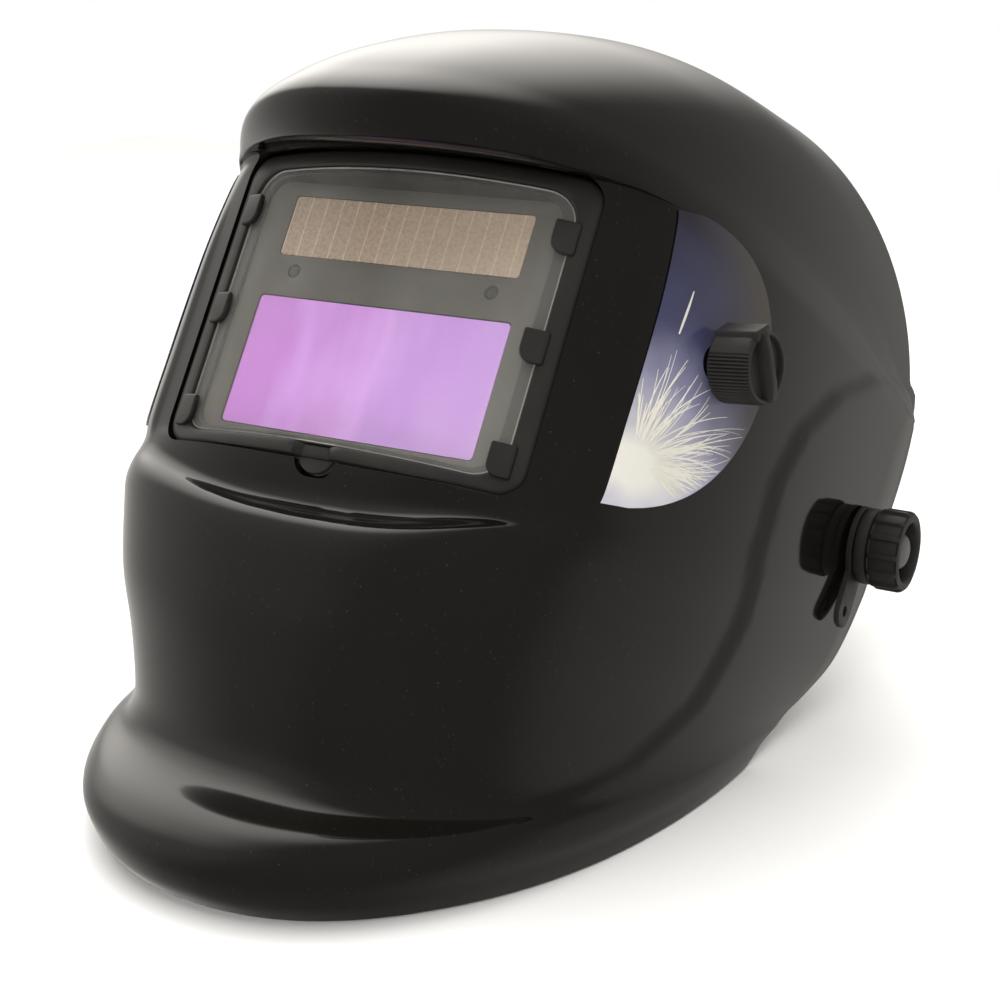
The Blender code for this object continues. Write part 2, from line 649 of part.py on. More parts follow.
def make_pivot(shell_parent, gear_parent, side):
    tag = "left" if side > 0 else "right"
    black = material("pivot_black_" + tag, (0.02, 0.019, 0.018), 0.45)
    metal = material("pivot_metal_" + tag, (0.42, 0.41, 0.40), 0.3, 0.8)
    here = (side * SIDE_X, PIVOT_Y, PIVOT_Z)
    turn = axis_matrix(here, (side, 0, 0))

    leaning = turn @ Matrix.Rotation(-side * PLATE_TURN, 4, "Z")
    verts, faces = limiter_loops()
    made = add_object("limiter_plate_" + tag, placed(verts, leaning), faces, black, shell_parent)
    for radius, centre in ((4.0, (0, 0)), (2.0, (0, -25.0))):
        verts, faces = extrude(disc_outline(radius, 16, centre), -3.0, 8.0)
        tool = add_object("tool", placed(verts, leaning), faces, None, shell_parent)
        combine(made, tool, "DIFFERENCE")

    ring = [(4.0, 2.9), (13.0, 2.9), (13.2, 3.6), (13.2, 6.6), (12.6, 7.2), (4.0, 7.2)]
    verts, faces = turned(ring, 32, hollow=True)
    add_object("collar_" + tag, gear(placed(verts, turn)), faces, black, gear_parent)

    knob = [(4.0, 7.5), (13.0, 7.5), (13.9, 8.2), (14.2, 9.2), (14.2, 17.4), (13.2, 18.6),
            (10.6, 18.6), (10.0, 17.4), (9.6, 12.4), (4.0, 12.4)]
    verts, faces = turned(knob, 52, hollow=True, waves=13, wave_rows=(2, 3, 4), depth=1.0)
    made = add_object("tension_knob_" + tag, gear(placed(verts, turn)), faces, black, gear_parent,
                      gear([here])[0])

    dome = [(6.4, 12.7), (6.6, 13.2), (6.6, 14.8), (5.9, 16.4), (4.3, 17.5), (2.2, 18.1), (0.5, 18.2)]
    verts, faces = turned(dome, 20)
    add_object("dome_nut_" + tag, gear(placed(verts, turn)), faces, metal, gear_parent,
               gear([here])[0])

    bolt = [(8.0, -14.5), (8.2, -13.9), (8.2, -12.6), (7.6, -12.2), (3.3, -12.2), (3.3, 12.3)]
    verts, faces = turned(bolt, 20)
    add_object("pivot_bolt_" + tag, gear(placed(verts, turn)), faces, metal, gear_parent)

    washer = [(3.8, -9.0), (11.0, -9.0), (11.0, -4.3), (3.8, -4.3)]
    verts, faces = turned(washer, 28, hollow=True)
    add_object("friction_washer_" + tag, gear(placed(verts, turn)), faces, black, gear_parent)


def limiter_loops():
    """Disc with a hanging finger tab; local Y is up, local Z outward."""
    stations = []
    radius = 13.4
    for k in range(13):
        up = radius * math.cos(math.radians(8 + 172 * k / 12))
        half = math.sqrt(max(radius**2 - up**2, 0.0))
        if up < -6.0:
            half = max(half, 6.2)
        stations.append((up, max(half, 1.8)))
    tab = [(-16.0, 6.2), (-19.0, 6.2), (-22.0, 6.2), (-25.0, 6.1), (-28.0, 5.2), (-30.2, 3.0)]
    stations = [s for s in stations if s[0] > -13.2] + tab
    loops = [[(-half, up, 0.6), (half, up, 0.6), (half, up, 2.5), (-half, up, 2.5)]
             for up, half in stations]
    return rings(loops)


# ---------------------------------------------------------------- headgear

def gear(points):
    """Helmet points into the headgear's own axes, whose origin is the pivot axis."""
    return [(p[0], p[1] - PIVOT_Y, p[2] - PIVOT_Z) for p in points]


def band(path, outward, width_axis, width, thickness):
    """Strap along a path: loops of rectangles, outward normals and width given."""
    loops = []
    for point, out, across in zip(path, outward, width_axis):
        p, o, w = Vector(point), Vector(out).normalized(), Vector(across).normalized()
        loops.append([
            p - w * width / 2, p + w * width / 2,
            p + w * width / 2 + o * thickness, p - w * width / 2 + o * thickness,
        ])
    return rings(loops)


def head_ring(angle, out=0.0):
    """Point of the head ellipse; angle 0 at the front, positive to the left."""
    x = (HEAD_HALF_X + out) * math.sin(angle)
    y = HEAD_Y - (HEAD_HALF_Y + out) * math.cos(angle)
    return (x, y, HEAD_Z - HEAD_SLOPE * (y - HEAD_Y))


def ring_band(name, start, end, steps, out, width, thickness, finish, parent, rise=0.0):
    path, outward, across = [], [], []
    for k in range(steps + 1):
        angle = math.radians(start + (end - start) * k / steps)
        x, y, z = head_ring(angle, out)
        path.append((x, y, z + rise))
        outward.append((HEAD_HALF_Y * math.sin(angle), -HEAD_HALF_X * math.cos(angle), 0))
        across.append((0, HEAD_SLOPE * 0.2, 1))
    return add_object(name, *band(path, outward, across, width, thickness), finish, parent)


def make_headgear(parent):
    plastic = material("headgear_black", (0.022, 0.022, 0.022), 0.5)
    cloth = material("sweatband_foam", (0.03, 0.03, 0.032), 0.9)
    ring_band("headband", -112, 112, 36, 0.0, 24.0, 1.6, plastic, parent)
    ring_band("sweatband", -62, 62, 22, -4.9, 30.0, 4.6, cloth, parent)
    ring_band("rear_strap_left", 78, 172, 16, 1.9, 15.0, 1.4, plastic, parent)
    ring_band("rear_strap_right", -78, -172, 16, 3.6, 15.0, 1.4, plastic, parent)

    for side, tag in ((1, "left"), (-1, "right")):
        make_side_arm(parent, plastic, side, tag)
    make_crown_straps(parent, plastic)
    make_ratchet(parent, plastic, cloth)


def make_side_arm(parent, plastic, side, tag):
    """Arm from the pivot boss up to the side of the headband."""
    face = SIDE_X - 12.0
    stations = [
        (0.0, -12.5, 4.0, face), (0.0, -9.0, 9.5, face), (0.0, 0.0, 12.5, face),
        (0.0, 9.0, 12.0, face), (0.0, 16.0, 10.5, face), (-1.0, 24.0, 10.0, face - 4.0),
        (-2.0, 31.0, 10.0, face - 12.5), (-3.0, 36.0, 10.0, HEAD_HALF_X + 6.6),
        (-4.0, 43.0, 10.0, HEAD_HALF_X + 5.4), (-4.0, 56.0, 9.0, HEAD_HALF_X + 5.4),
        (-4.0, 61.0, 5.0, HEAD_HALF_X + 5.4),
    ]
    loops = []
    for y, z, half, x in stations:
        loops.append([(side * x, y - half, z), (side * x, y + half, z),
                      (side * (x + 2.4), y + half, z), (side * (x + 2.4), y - half, z)])
    arm = add_object("side_arm_" + tag, *rings(loops), plastic, parent)
    turn = axis_matrix((side * (face - 5), 0, 0), (side, 0, 0))
    verts, faces = extrude(disc_outline(3.8, 16), -5.0, 20.0)
    return combine(arm, add_object("tool", placed(verts, turn), faces, None, parent), "DIFFERENCE")


def make_crown_straps(parent, plastic):
    """Two straps that rise from the headband and overlap over the head."""
    base = HEAD_Z + 6.0
    rise = 88.0
    for side, tag, low, lift in ((1, "left", -16, 0.0), (-1, "right", -16, 2.1)):
        path, outward, across = [], [], []
        steps = 20
        for k in range(steps + 1):
            angle = math.radians(90 + (low - 90) * k / steps)
            x = side * (HEAD_HALF_X - 1.9) * math.sin(angle)
            z = base + (rise + lift) * math.cos(angle)
            path.append((x, -4.0, z))
            outward.append((side * rise * math.sin(angle), 0, HEAD_HALF_X * math.cos(angle)))
            across.append((0, 1, 0))
        add_object("crown_strap_" + tag, *band(path, outward, across, 17.0, 1.5), plastic, parent)
    turn = axis_matrix((0, -4.0, base + rise), (0, 0, 1), (0, 1, 0))
    verts, faces = turned([(5.5, 4.3), (5.5, 5.3), (3.0, 6.0)], 16)
    add_object("crown_strap_pin", placed(verts, turn), faces, plastic, parent)


def make_ratchet(parent, plastic, cloth):
    """Housing, knob and cushion at the back of the head."""
    rear = head_ring(math.pi, 0.0)
    turn = axis_matrix((rear[0], rear[1], rear[2]), (0, 1, 0))
    outline = rounded_box(70.0, 30.0, 12.0, 5)
    verts, faces = extrude(outline, -1.6, 11.0)
    housing = add_object("ratchet_housing", placed(verts, turn), faces, plastic, parent)
    # the strap tails enter through a slot that runs across the housing
    path, outward, across = [], [], []
    for k in range(25):
        angle = math.radians(150 + 60 * k / 24)
        x, y, z = head_ring(angle, 1.4)
        path.append((x, y, z))
        outward.append((HEAD_HALF_Y * math.sin(angle), -HEAD_HALF_X * math.cos(angle), 0))
        across.append((0, HEAD_SLOPE * 0.2, 1))
    tool = add_object("tool", *band(path, outward, across, 16.2, 4.4), None, parent)
    combine(housing, tool, "DIFFERENCE")
    verts, faces = extrude(disc_outline(3.4, 16), 8.5, 20.0)
    combine(housing, add_object("tool", placed(verts, turn), faces, None, parent), "DIFFERENCE")
    knob = [(3.0, 8.9), (3.0, 11.3), (15.5, 11.3), (17.5, 12.4), (17.5, 22.5), (16.0, 24.5), (9.0, 25.2)]
    verts, faces = turned(knob, 48, waves=12, wave_rows=(3, 4), depth=1.2)
    add_object("ratchet_knob", placed(verts, turn), faces, plastic, parent,
               tuple(turn @ Vector((0, 0, 12.0))))
    ring_band("rear_cushion", 157, 203, 12, -7.6, 24.0, 5.2, cloth, parent)


# --------------------------------------------------------------------- build

def build():
    for item in list(bpy.data.objects):
        bpy.data.objects.remove(item)
    stance = bpy.data.objects.new("stance", None)
    bpy.context.scene.collection.objects.link(stance)
    stance.rotation_euler = (-LEAN, 0, 0)
    stance.location = (0, STAND_Y * MM, RIM_DROP * MM)
    headgear = bpy.data.objects.new("headgear_axis", None)
    bpy.context.scene.collection.objects.link(headgear)
    headgear.parent = stance
    headgear.location = (0, PIVOT_Y * MM, PIVOT_Z * MM)
    headgear.rotation_euler = (-HEADGEAR_TILT, 0, 0)
    bpy.context.view_layer.update()

    make_shell(stance)
    make_frame(stance)
    make_optics(stance)
    make_shade_control(stance)
    for side in (1, -1):
        make_decal(stance, side)
        make_pivot(stance, headgear, side)
    make_headgear(headgear)
    bpy.context.view_layer.update()


build()
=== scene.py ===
"""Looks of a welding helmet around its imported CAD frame.

Most shapes are worked out in helmet axes in millimetres: +X to the wearer's left, -Y the
way the wearer looks, +Z up, origin at the centre of the viewing glass.  HELMET and GEAR
carry them to the frame's axes, where the helmet leans back on its rim.
"""

import math
import random

import bmesh
import bpy
import numpy as np
from mathutils import Matrix, Vector


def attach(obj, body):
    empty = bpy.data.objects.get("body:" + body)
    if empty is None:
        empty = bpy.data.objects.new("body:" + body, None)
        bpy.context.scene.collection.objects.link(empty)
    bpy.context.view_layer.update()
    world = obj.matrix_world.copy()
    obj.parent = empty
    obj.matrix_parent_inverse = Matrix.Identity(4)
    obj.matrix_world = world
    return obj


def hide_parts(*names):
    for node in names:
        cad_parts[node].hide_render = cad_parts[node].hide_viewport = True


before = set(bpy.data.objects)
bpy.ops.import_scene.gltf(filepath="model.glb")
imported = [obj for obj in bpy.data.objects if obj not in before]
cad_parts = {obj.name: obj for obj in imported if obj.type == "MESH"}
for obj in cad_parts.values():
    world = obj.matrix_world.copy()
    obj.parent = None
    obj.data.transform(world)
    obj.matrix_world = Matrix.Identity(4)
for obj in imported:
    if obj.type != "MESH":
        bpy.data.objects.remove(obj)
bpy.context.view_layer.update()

MM = 0.001
LEAN = math.radians(20.0)               # the helmet leans back on its rim
RIM_DROP = 136.0                        # floor to the centre of the viewing glass
STAND_Y = -80.7
PIVOT_Y, PIVOT_Z = 150.0, -24.0         # headgear pivot
HEADGEAR_TILT = math.radians(9.0)
HELMET = Matrix.Translation((0, STAND_Y, RIM_DROP)) @ Matrix.Rotation(-LEAN, 4, "X")
PIVOT = Matrix.Translation((0, PIVOT_Y, PIVOT_Z))
GEAR = HELMET @ PIVOT @ Matrix.Rotation(-HEADGEAR_TILT, 4, "X")

SHELL_WALL = 2.5
LENS_TILT = math.radians(12.4)
LENS_RADIUS = 170.0                     # of the bulged lens and frame front
LENS_RISE = 13.0                        # the bulge's middle in front of the glass
FRAME_HALF = 65.2
FRAME_LOW, FRAME_HIGH = -31.0, 68.0
COVER_HALF = 58.5
COVER_LOW, COVER_HIGH = -26.5, 62.5
COVER_ROUND = 10.0
GLASS_SIZE = (92.2, 42.8)
STRIP_SIZE, STRIP_UP = (88.0, 20.2), 45.8
SENSOR_X, SENSOR_UP = 36.5, 30.3
TAB_LEVELS = (48.5, 14.2, -20.8)
SIDE_X = 114.7                          # outside of the shell at the pivots
SHADE_Y, SHADE_Z = 39.5, 20.0           # shade knob axis
KNOB_TURN = math.radians(30.0)          # its pointer leans this far to the front
PLATE_TURN = math.radians(-20.0)
HEAD_HALF_X, HEAD_HALF_Y, HEAD_Y, HEAD_Z, HEAD_SLOPE = 79.0, 101.0, -4.0, 44.0, 0.20
STRAP_HEIGHT = 24.0

# Shell sections from the chin rim to the crown edge:
# front y, z | flank y, z | rear y, z | half width | two roundness powers | fade width
SECTIONS = np.array([
    (-36, -160.0, -36, -160.0, 112, -104.8, 99.8, 2.20, 2.00, 100),
    (-46, -153.5, -46, -153.5, 116, -99.5, 101.0, 2.20, 2.00, 100),
    (-50, -146.0, -50, -146.0, 119, -96.0, 101.5, 2.30, 2.05, 100),
    (-43, -136.0, -43, -136.0, 123, -93.0, 102.0, 2.40, 2.10, 100),
    (-27, -125.0, -27, -125.0, 128, -90.0, 102.5, 2.50, 2.20, 100),
    (-21, -115.0, -21, -115.0, 133, -86.0, 103.0, 2.70, 2.30, 100),
    (-24, -94.0, -24, -94.0, 146, -78.0, 105.0, 2.95, 2.50, 100),
    (-28, -73.0, -28, -70.0, 160, -66.0, 108.0, 3.30, 2.80, 95),
    (-28, -57.5, -27, -51.0, 168, -52.0, 110.0, 3.55, 3.10, 88),
    (-27, -49.5, -25, -42.5, 170, -45.5, 110.9, 3.70, 3.25, 85),
    (-24, -45.6, -22.3, -37.0, 172, -41.5, 111.2, 3.70, 3.30, 85),
    (-17.5, -43.0, -19.3, -33.5, 173, -38.5, 111.4, 3.70, 3.35, 85),
    (-15, -38.5, -17.2, -30.0, 175, -33.5, 111.6, 3.70, 3.40, 85),
    (-16.5, -30.0, -16.2, -24.0, 177, -25.0, 112.0, 3.70, 3.50, 85),
    (-11, 0.0, -11, 0.0, 186, -3.0, 112.5, 3.70, 3.50, 85),
    (-4, 36.0, -4, 36.0, 193, 12.0, 112.0, 3.70, 3.40, 85),
    (3, 66.5, 3, 66.5, 196, 20.0, 111.5, 3.60, 3.10, 85),
    (-6, 70.0, 3.5, 69.0, 197, 22.0, 111.3, 3.58, 3.00, 90),
    (-29, 67.0, 4, 71.0, 197, 23.0, 111.2, 3.55, 2.90, 94),
    (-34, 72.0, 5, 74.5, 197, 24.0, 111.1, 3.45, 2.75, 96),
    (-31, 79.0, 7, 80.0, 198, 25.0, 111.0, 3.30, 2.55, 98),
    (-18, 90.0, 12, 89.5, 198, 26.0, 110.7, 3.00, 2.35, 98),
    (12, 107.0, 26, 105.0, 198, 27.0, 110.4, 2.70, 2.20, 98),
    (55, 124.0, 58, 123.0, 198, 28.0, 110.0, 2.45, 2.15, 95),
    (105, 134.5, 105, 134.5, 198, 29.0, 110.0, 2.35, 2.10, 95),
    (160, 137.0, 160, 137.0, 198, 30.0, 110.0, 2.35, 2.10, 95),
], dtype=float)

# The raised border of the shell starts behind this line on each side (y, z).
STEP_LINE = np.array([
    (215, 38), (147, 34), (112, 23), (88, 8), (75, -10), (71, -32),
    (72, -55), (63, -82), (42, -102), (10, -118), (-25, -124),
], dtype=float)
STEP_HEIGHT = 2.2
STEP_BAND = 5.0
DISH_HALF, DISH_BAND, DISH_DEPTH = 86.0, 17.0, 6.0


# ---------------------------------------------------------------- materials

class Nodes:
    """Short names for building one material's node tree."""

    def __init__(self, name):
        self.material = bpy.data.materials.new(name)
        self.material.use_nodes = True
        self.tree = self.material.node_tree
        self.shader = self.tree.nodes["Principled BSDF"]

    def add(self, kind, **fields):
        node = self.tree.nodes.new(kind)
        for key, value in fields.items():
            setattr(node, key, value)
        return node

    def link(self, start, end):
        self.tree.links.new(start, end)

    def set(self, **values):
        for key, value in values.items():
            self.shader.inputs[key.replace("_", " ")].default_value = value

    def flat(self):
        """The two UV numbers of the surface."""
        split = self.add("ShaderNodeSeparateXYZ")
        self.link(self.add("ShaderNodeTexCoord").outputs["UV"], split.inputs["Vector"])
        return split.outputs["X"], split.outputs["Y"]

    def noise(self, scale, detail=4.0, roughness=0.5, stretch=None):
        place = self.add("ShaderNodeTexCoord").outputs["Object"]
        if stretch:
            mapping = self.add("ShaderNodeMapping")
            mapping.inputs["Scale"].default_value = stretch
            self.link(place, mapping.inputs["Vector"])
            place = mapping.outputs["Vector"]
        noise = self.add("ShaderNodeTexNoise")
        noise.inputs["Scale"].default_value = scale
        noise.inputs["Detail"].default_value = detail
        noise.inputs["Roughness"].default_value = roughness
        self.link(place, noise.inputs["Vector"])
        return noise.outputs["Fac"]

    def ramp(self, value, *stops):
        ramp = self.add("ShaderNodeValToRGB")
        band = ramp.color_ramp
        while len(band.elements) < len(stops):
            band.elements.new(0.5)
        for element, (at, colour) in zip(band.elements, stops):
            element.position = at
            element.color = (*colour, 1.0)
        self.link(value, ramp.inputs["Fac"])
        return ramp.outputs["Color"]

    def span(self, value, low, high, from_low=0.3, from_high=0.7):
        rescale = self.add("ShaderNodeMapRange")
        for key, number in (("From Min", from_low), ("From Max", from_high),
                            ("To Min", low), ("To Max", high)):
            rescale.inputs[key].default_value = number
        self.link(value, rescale.inputs["Value"])
        return rescale.outputs["Result"]

    def math(self, operation, first, second=None, clamp=False):
        node = self.add("ShaderNodeMath", operation=operation, use_clamp=clamp)
        for socket, value in zip(node.inputs, (first, second)):
            if isinstance(value, (int, float)):
                socket.default_value = value
            elif value is not None:
                self.link(value, socket)
        return node.outputs["Value"]

    def mix(self, share, first, second):
        node = self.add("ShaderNodeMix", data_type="RGBA")
        for socket, value in ((node.inputs[0], share), (node.inputs[6], first),
                              (node.inputs[7], second)):
            if isinstance(value, tuple):
                socket.default_value = (*value, 1.0)
            elif isinstance(value, (int, float)):
                socket.default_value = value
            else:
                self.link(value, socket)
        return node.outputs[2]

    def bump(self, height, strength, distance):
        bump = self.add("ShaderNodeBump")
        bump.inputs["Strength"].default_value = strength
        bump.inputs["Distance"].default_value = distance
        self.link(height, bump.inputs["Height"])
        self.link(bump.outputs["Normal"], self.shader.inputs["Normal"])


def plastic(name, dark, light, rough, grain, strength):
    """Moulded plastic: mottled colour, uneven gloss and a fine moulded grain."""
    made = Nodes(name)
    mottle = made.noise(38.0, 5.0)
    made.link(made.ramp(mottle, (0.3, dark), (0.7, light)), made.shader.inputs["Base Color"])
    wear = made.noise(140.0, 3.0)
    made.link(made.span(wear, rough[0], rough[1]), made.shader.inputs["Roughness"])
    made.bump(made.noise(grain, 3.0, 0.6), strength, 0.0002)
    return made.material


def gloss_shell():
    made = Nodes("shell_gloss")
    tone = made.noise(9.0, 3.0)
    base = made.ramp(tone, (0.3, (0.0042, 0.0036, 0.0030)), (0.7, (0.0062, 0.0054, 0.0044)))
    specks = made.noise(1450.0, 0.0)
    dust = made.ramp(specks, (0.815, (0.0, 0.0, 0.0)), (0.835, (0.10, 0.10, 0.10)))
    made.link(made.mix(dust, base, (0.20, 0.19, 0.17)), made.shader.inputs["Base Color"])
    smear = made.noise(16.0, 6.0, 0.55)
    made.link(made.span(smear, 0.055, 0.10), made.shader.inputs["Roughness"])
    made.bump(made.noise(55.0, 2.0), 0.02, 0.001)
    made.set(IOR=1.48)
    return made.material


def clear_cover(name, reflection_veil, strength):
    """Thin polycarbonate with streaky milky cloudiness, a painted reflection standing in for
    glare on the lens, and a paler look where seen edge-on, a painted sheen standing in for
    reflection.
    """
    made = Nodes(name)
    streaks = made.noise(7.0, 4.0, 0.6, stretch=(2.4, 0.5, 0.55))
    facing = made.add("ShaderNodeLayerWeight")
    facing.inputs["Blend"].default_value = 0.5
    # Painted sheen: the lens turns more opaque and paler where seen edge-on, standing in for
    # reflection.
    painted_edge_sheen = made.math("POWER", facing.outputs["Facing"], 4.0)
    # Painted reflection: streaky milky cloudiness standing in for glare on the lens.
    painted_reflection_haze = made.span(streaks, reflection_veil[0], reflection_veil[1], 0.35, 0.68)
    alpha = made.math("ADD", painted_reflection_haze, made.math("MULTIPLY", painted_edge_sheen, strength), True)
    made.link(alpha, made.shader.inputs["Alpha"])
    # Colour of the painted glare cloudiness, paler grey along the streaks.
    painted_glare_tint = made.ramp(streaks, (0.3, (0.42, 0.42, 0.39)), (0.7, (0.60, 0.60, 0.56)))
    made.link(painted_glare_tint, made.shader.inputs["Base Color"])
    made.set(Roughness=0.04, IOR=1.5)
    return made.material


def solar_cells():
    """Brown glazed strip in cells split by thin light lines."""
    made = Nodes("solar_cells")
    across = made.flat()[0]
    cell = made.math("FRACT", made.math("MULTIPLY", across, 14.6))
    line = made.math("LESS_THAN", cell, 0.055)
    grain = made.noise(900.0, 2.0)
    body = made.ramp(grain, (0.25, (0.29, 0.205, 0.145)), (0.75, (0.37, 0.275, 0.20)))
    pale = made.mix(made.math("MULTIPLY", across, 0.55), body, (0.47, 0.37, 0.28))
    made.link(made.mix(line, pale, (0.58, 0.49, 0.38)), made.shader.inputs["Base Color"])
    made.link(made.span(grain, 0.22, 0.34), made.shader.inputs["Roughness"])
    made.bump(grain, 0.1, 0.0001)
    return made.material


def filter_coating():
    """Violet interference coating with soft streaks."""
    made = Nodes("filter_coating")
    broad = made.noise(26.0, 3.0, 0.6, stretch=(1.0, 0.4, 0.35))
    across = made.math("ADD", made.flat()[0], made.span(broad, -0.35, 0.35))
    tone = made.ramp(across, (0.0, (0.50, 0.19, 0.60)), (0.38, (0.64, 0.34, 0.80)),
                     (0.62, (0.53, 0.27, 0.72)), (1.0, (0.57, 0.33, 0.74)))
    made.link(tone, made.shader.inputs["Base Color"])
    grain = made.noise(1300.0, 2.0)
    made.link(made.span(grain, 0.12, 0.22), made.shader.inputs["Roughness"])
    made.bump(grain, 0.05, 0.0001)
    made.set(Coat_Weight=0.6, Coat_Roughness=0.05)
    return made.material


def print_sheet():
    """Night-blue print that glows white near its lower front corner."""
    made = Nodes("decal_print")
    along, height = made.flat()
    cloud = made.noise(60.0, 4.0)
    lifted = made.math("ADD", height, made.span(cloud, -0.05, 0.05))
    blue = made.ramp(lifted, (0.0, (0.30, 0.29, 0.52)), (0.30, (0.15, 0.15, 0.31)),
                     (0.62, (0.045, 0.048, 0.10)), (1.0, (0.016, 0.015, 0.022)))
    drifted = made.math("ADD", along, made.span(cloud, -0.04, 0.04))
    fade = made.span(drifted, 0.0, 1.0, 0.45, 0.86)
    ground = made.mix(fade, blue, (0.048, 0.044, 0.038))
    dx = made.math("MULTIPLY", made.math("SUBTRACT", along, 0.13), 0.62)
    dz = made.math("SUBTRACT", height, 0.14)
    square = made.math("ADD", made.math("MULTIPLY", dx, dx), made.math("MULTIPLY", dz, dz))
    away = made.math("ADD", made.math("SQRT", square), made.span(cloud, -0.025, 0.025))
    glow = made.ramp(away, (0.06, (1, 1, 1)), (0.15, (0.55, 0.55, 0.55)),
                     (0.30, (0.16, 0.16, 0.16)), (0.48, (0, 0, 0)))
    made.link(made.mix(glow, ground, (0.66, 0.65, 0.60)), made.shader.inputs["Base Color"])
    grain = made.noise(2400.0, 1.0)
    made.link(made.span(grain, 0.10, 0.2), made.shader.inputs["Roughness"])
    return made.material


def steel(name, colour, rough):
    made = Nodes(name)
    brushed = made.noise(420.0, 3.0, 0.6, stretch=(1.0, 0.15, 1.0))
    low = tuple(0.75 * c for c in colour)
    made.link(made.ramp(brushed, (0.3, low), (0.7, colour)), made.shader.inputs["Base Color"])
    made.link(made.span(brushed, rough, rough + 0.15), made.shader.inputs["Roughness"])
    made.bump(brushed, 0.08, 0.0001)
    made.set(Metallic=1.0)
    return made.material


def cloth(name):
    """Close woven cover over foam: crossed threads, fuzz and a soft sheen."""
    made = Nodes(name)
    place = made.add("ShaderNodeTexCoord").outputs["UV"]
    heights = []
    for direction in ("X", "Y"):
        wave = made.add("ShaderNodeTexWave", bands_direction=direction)
        wave.inputs["Scale"].default_value = 95.0
        wave.inputs["Distortion"].default_value = 0.6
        made.link(place, wave.inputs["Vector"])
        heights.append(wave.outputs["Fac"])
    weave = made.math("MULTIPLY", heights[0], heights[1])
    fuzz = made.noise(800.0, 4.0, 0.7)
    height = made.math("ADD", weave, made.math("MULTIPLY", fuzz, 0.5))
    tone = made.ramp(height, (0.15, (0.012, 0.012, 0.013)), (0.9, (0.055, 0.054, 0.056)))
    made.link(tone, made.shader.inputs["Base Color"])
    made.bump(height, 0.6, 0.0004)
    made.set(Roughness=0.95, Sheen_Weight=0.35, Sheen_Roughness=0.4)
    return made.material


SHELL = gloss_shell()
SATIN = plastic("frame_satin", (0.013, 0.012, 0.011), (0.020, 0.019, 0.017),
                (0.36, 0.48), 1600.0, 0.25)
KNOB = plastic("knob_black", (0.012, 0.011, 0.0105), (0.021, 0.020, 0.018),
               (0.40, 0.55), 1900.0, 0.3)
BODY = plastic("cartridge_body", (0.060, 0.055, 0.048), (0.082, 0.076, 0.067),
               (0.42, 0.55), 1500.0, 0.3)
GEAR_PLASTIC = plastic("headgear_plastic", (0.014, 0.014, 0.014), (0.026, 0.026, 0.026),
                       (0.38, 0.55), 1300.0, 0.3)
RUBBER = plastic("cable_rubber", (0.012, 0.012, 0.012), (0.020, 0.020, 0.020),
                 (0.5, 0.65), 1500.0, 0.2)
# Both carry the painted reflection cloudiness and the painted edge-on sheen; the edge faces carry
# more of it.
COVER = clear_cover("cover_clear", (0.04, 0.10), 0.5)
COVER_EDGE = clear_cover("cover_edge", (0.40, 0.60), 0.6)
GLASS = filter_coating()
CELLS = solar_cells()
SENSOR = plastic("sensor_gloss", (0.02, 0.02, 0.022), (0.04, 0.038, 0.036),
                 (0.08, 0.14), 700.0, 0.05)
PRINT = print_sheet()
SPARK = plastic("spark_print", (0.62, 0.60, 0.52), (0.72, 0.70, 0.63), (0.15, 0.25), 900.0, 0.05)
STEEL = steel("brushed_steel", (0.50, 0.49, 0.47), 0.28)
DOME = plastic("dome_grey", (0.075, 0.072, 0.068), (0.11, 0.105, 0.10), (0.28, 0.40), 900.0, 0.1)
CLOTH = cloth("sweatband_cloth")
THREAD = plastic("thread", (0.030, 0.030, 0.032), (0.065, 0.065, 0.068),
                 (0.7, 0.85), 2500.0, 0.3)


# ------------------------------------------------------------ shell surface

def monotone(knots, values, at):
    """Shape-keeping cubic interpolation of each column of values."""
    step = np.diff(knots)[:, None]
    slope = np.diff(values, axis=0) / step
    tangent = np.zeros_like(values)
    before, after = slope[:-1], slope[1:]
    same = before * after > 0
    w1 = 2 * step[1:] + step[:-1]
    w2 = step[1:] + 2 * step[:-1]
    safe_before = np.where(same, before, 1.0)
    safe_after = np.where(same, after, 1.0)
    mean = (w1 + w2) / (w1 / safe_before + w2 / safe_after)
    tangent[1:-1] = np.where(same, mean, 0.0)
    tangent[0], tangent[-1] = slope[0], slope[-1]
    index = np.clip(np.searchsorted(knots, at, side="right") - 1, 0, len(knots) - 2)
    width = (knots[index + 1] - knots[index])[:, None]
    t = (at - knots[index])[:, None] / width
    return (
        (2 * t**3 - 3 * t**2 + 1) * values[index]
        + (t**3 - 2 * t**2 + t) * width * tangent[index]
        + (-2 * t**3 + 3 * t**2) * values[index + 1]
        + (t**3 - t**2) * width * tangent[index + 1]
    )


def smooth(t):
    t = np.clip(t, 0.0, 1.0)
    return t * t * (3 - 2 * t)


def behind_step(y, z):
    """Signed distance behind the step line, positive on the raised border."""
    point = np.stack([y, z], -1)
    best = np.full(np.shape(y), 1e9)
    side = np.zeros(np.shape(y))
    for start, end in zip(STEP_LINE[:-1], STEP_LINE[1:]):
        along = end - start
        share = np.clip(((point - start) @ along) / (along @ along), 0, 1)
        nearest = start + share[..., None] * along
        away = np.linalg.norm(point - nearest, axis=-1)
        turn = along[0] * (point[..., 1] - start[1]) - along[1] * (point[..., 0] - start[0])
        closer = away < best
        best = np.where(closer, away, best)
        side = np.where(closer, np.sign(turn), side)
    return best * side


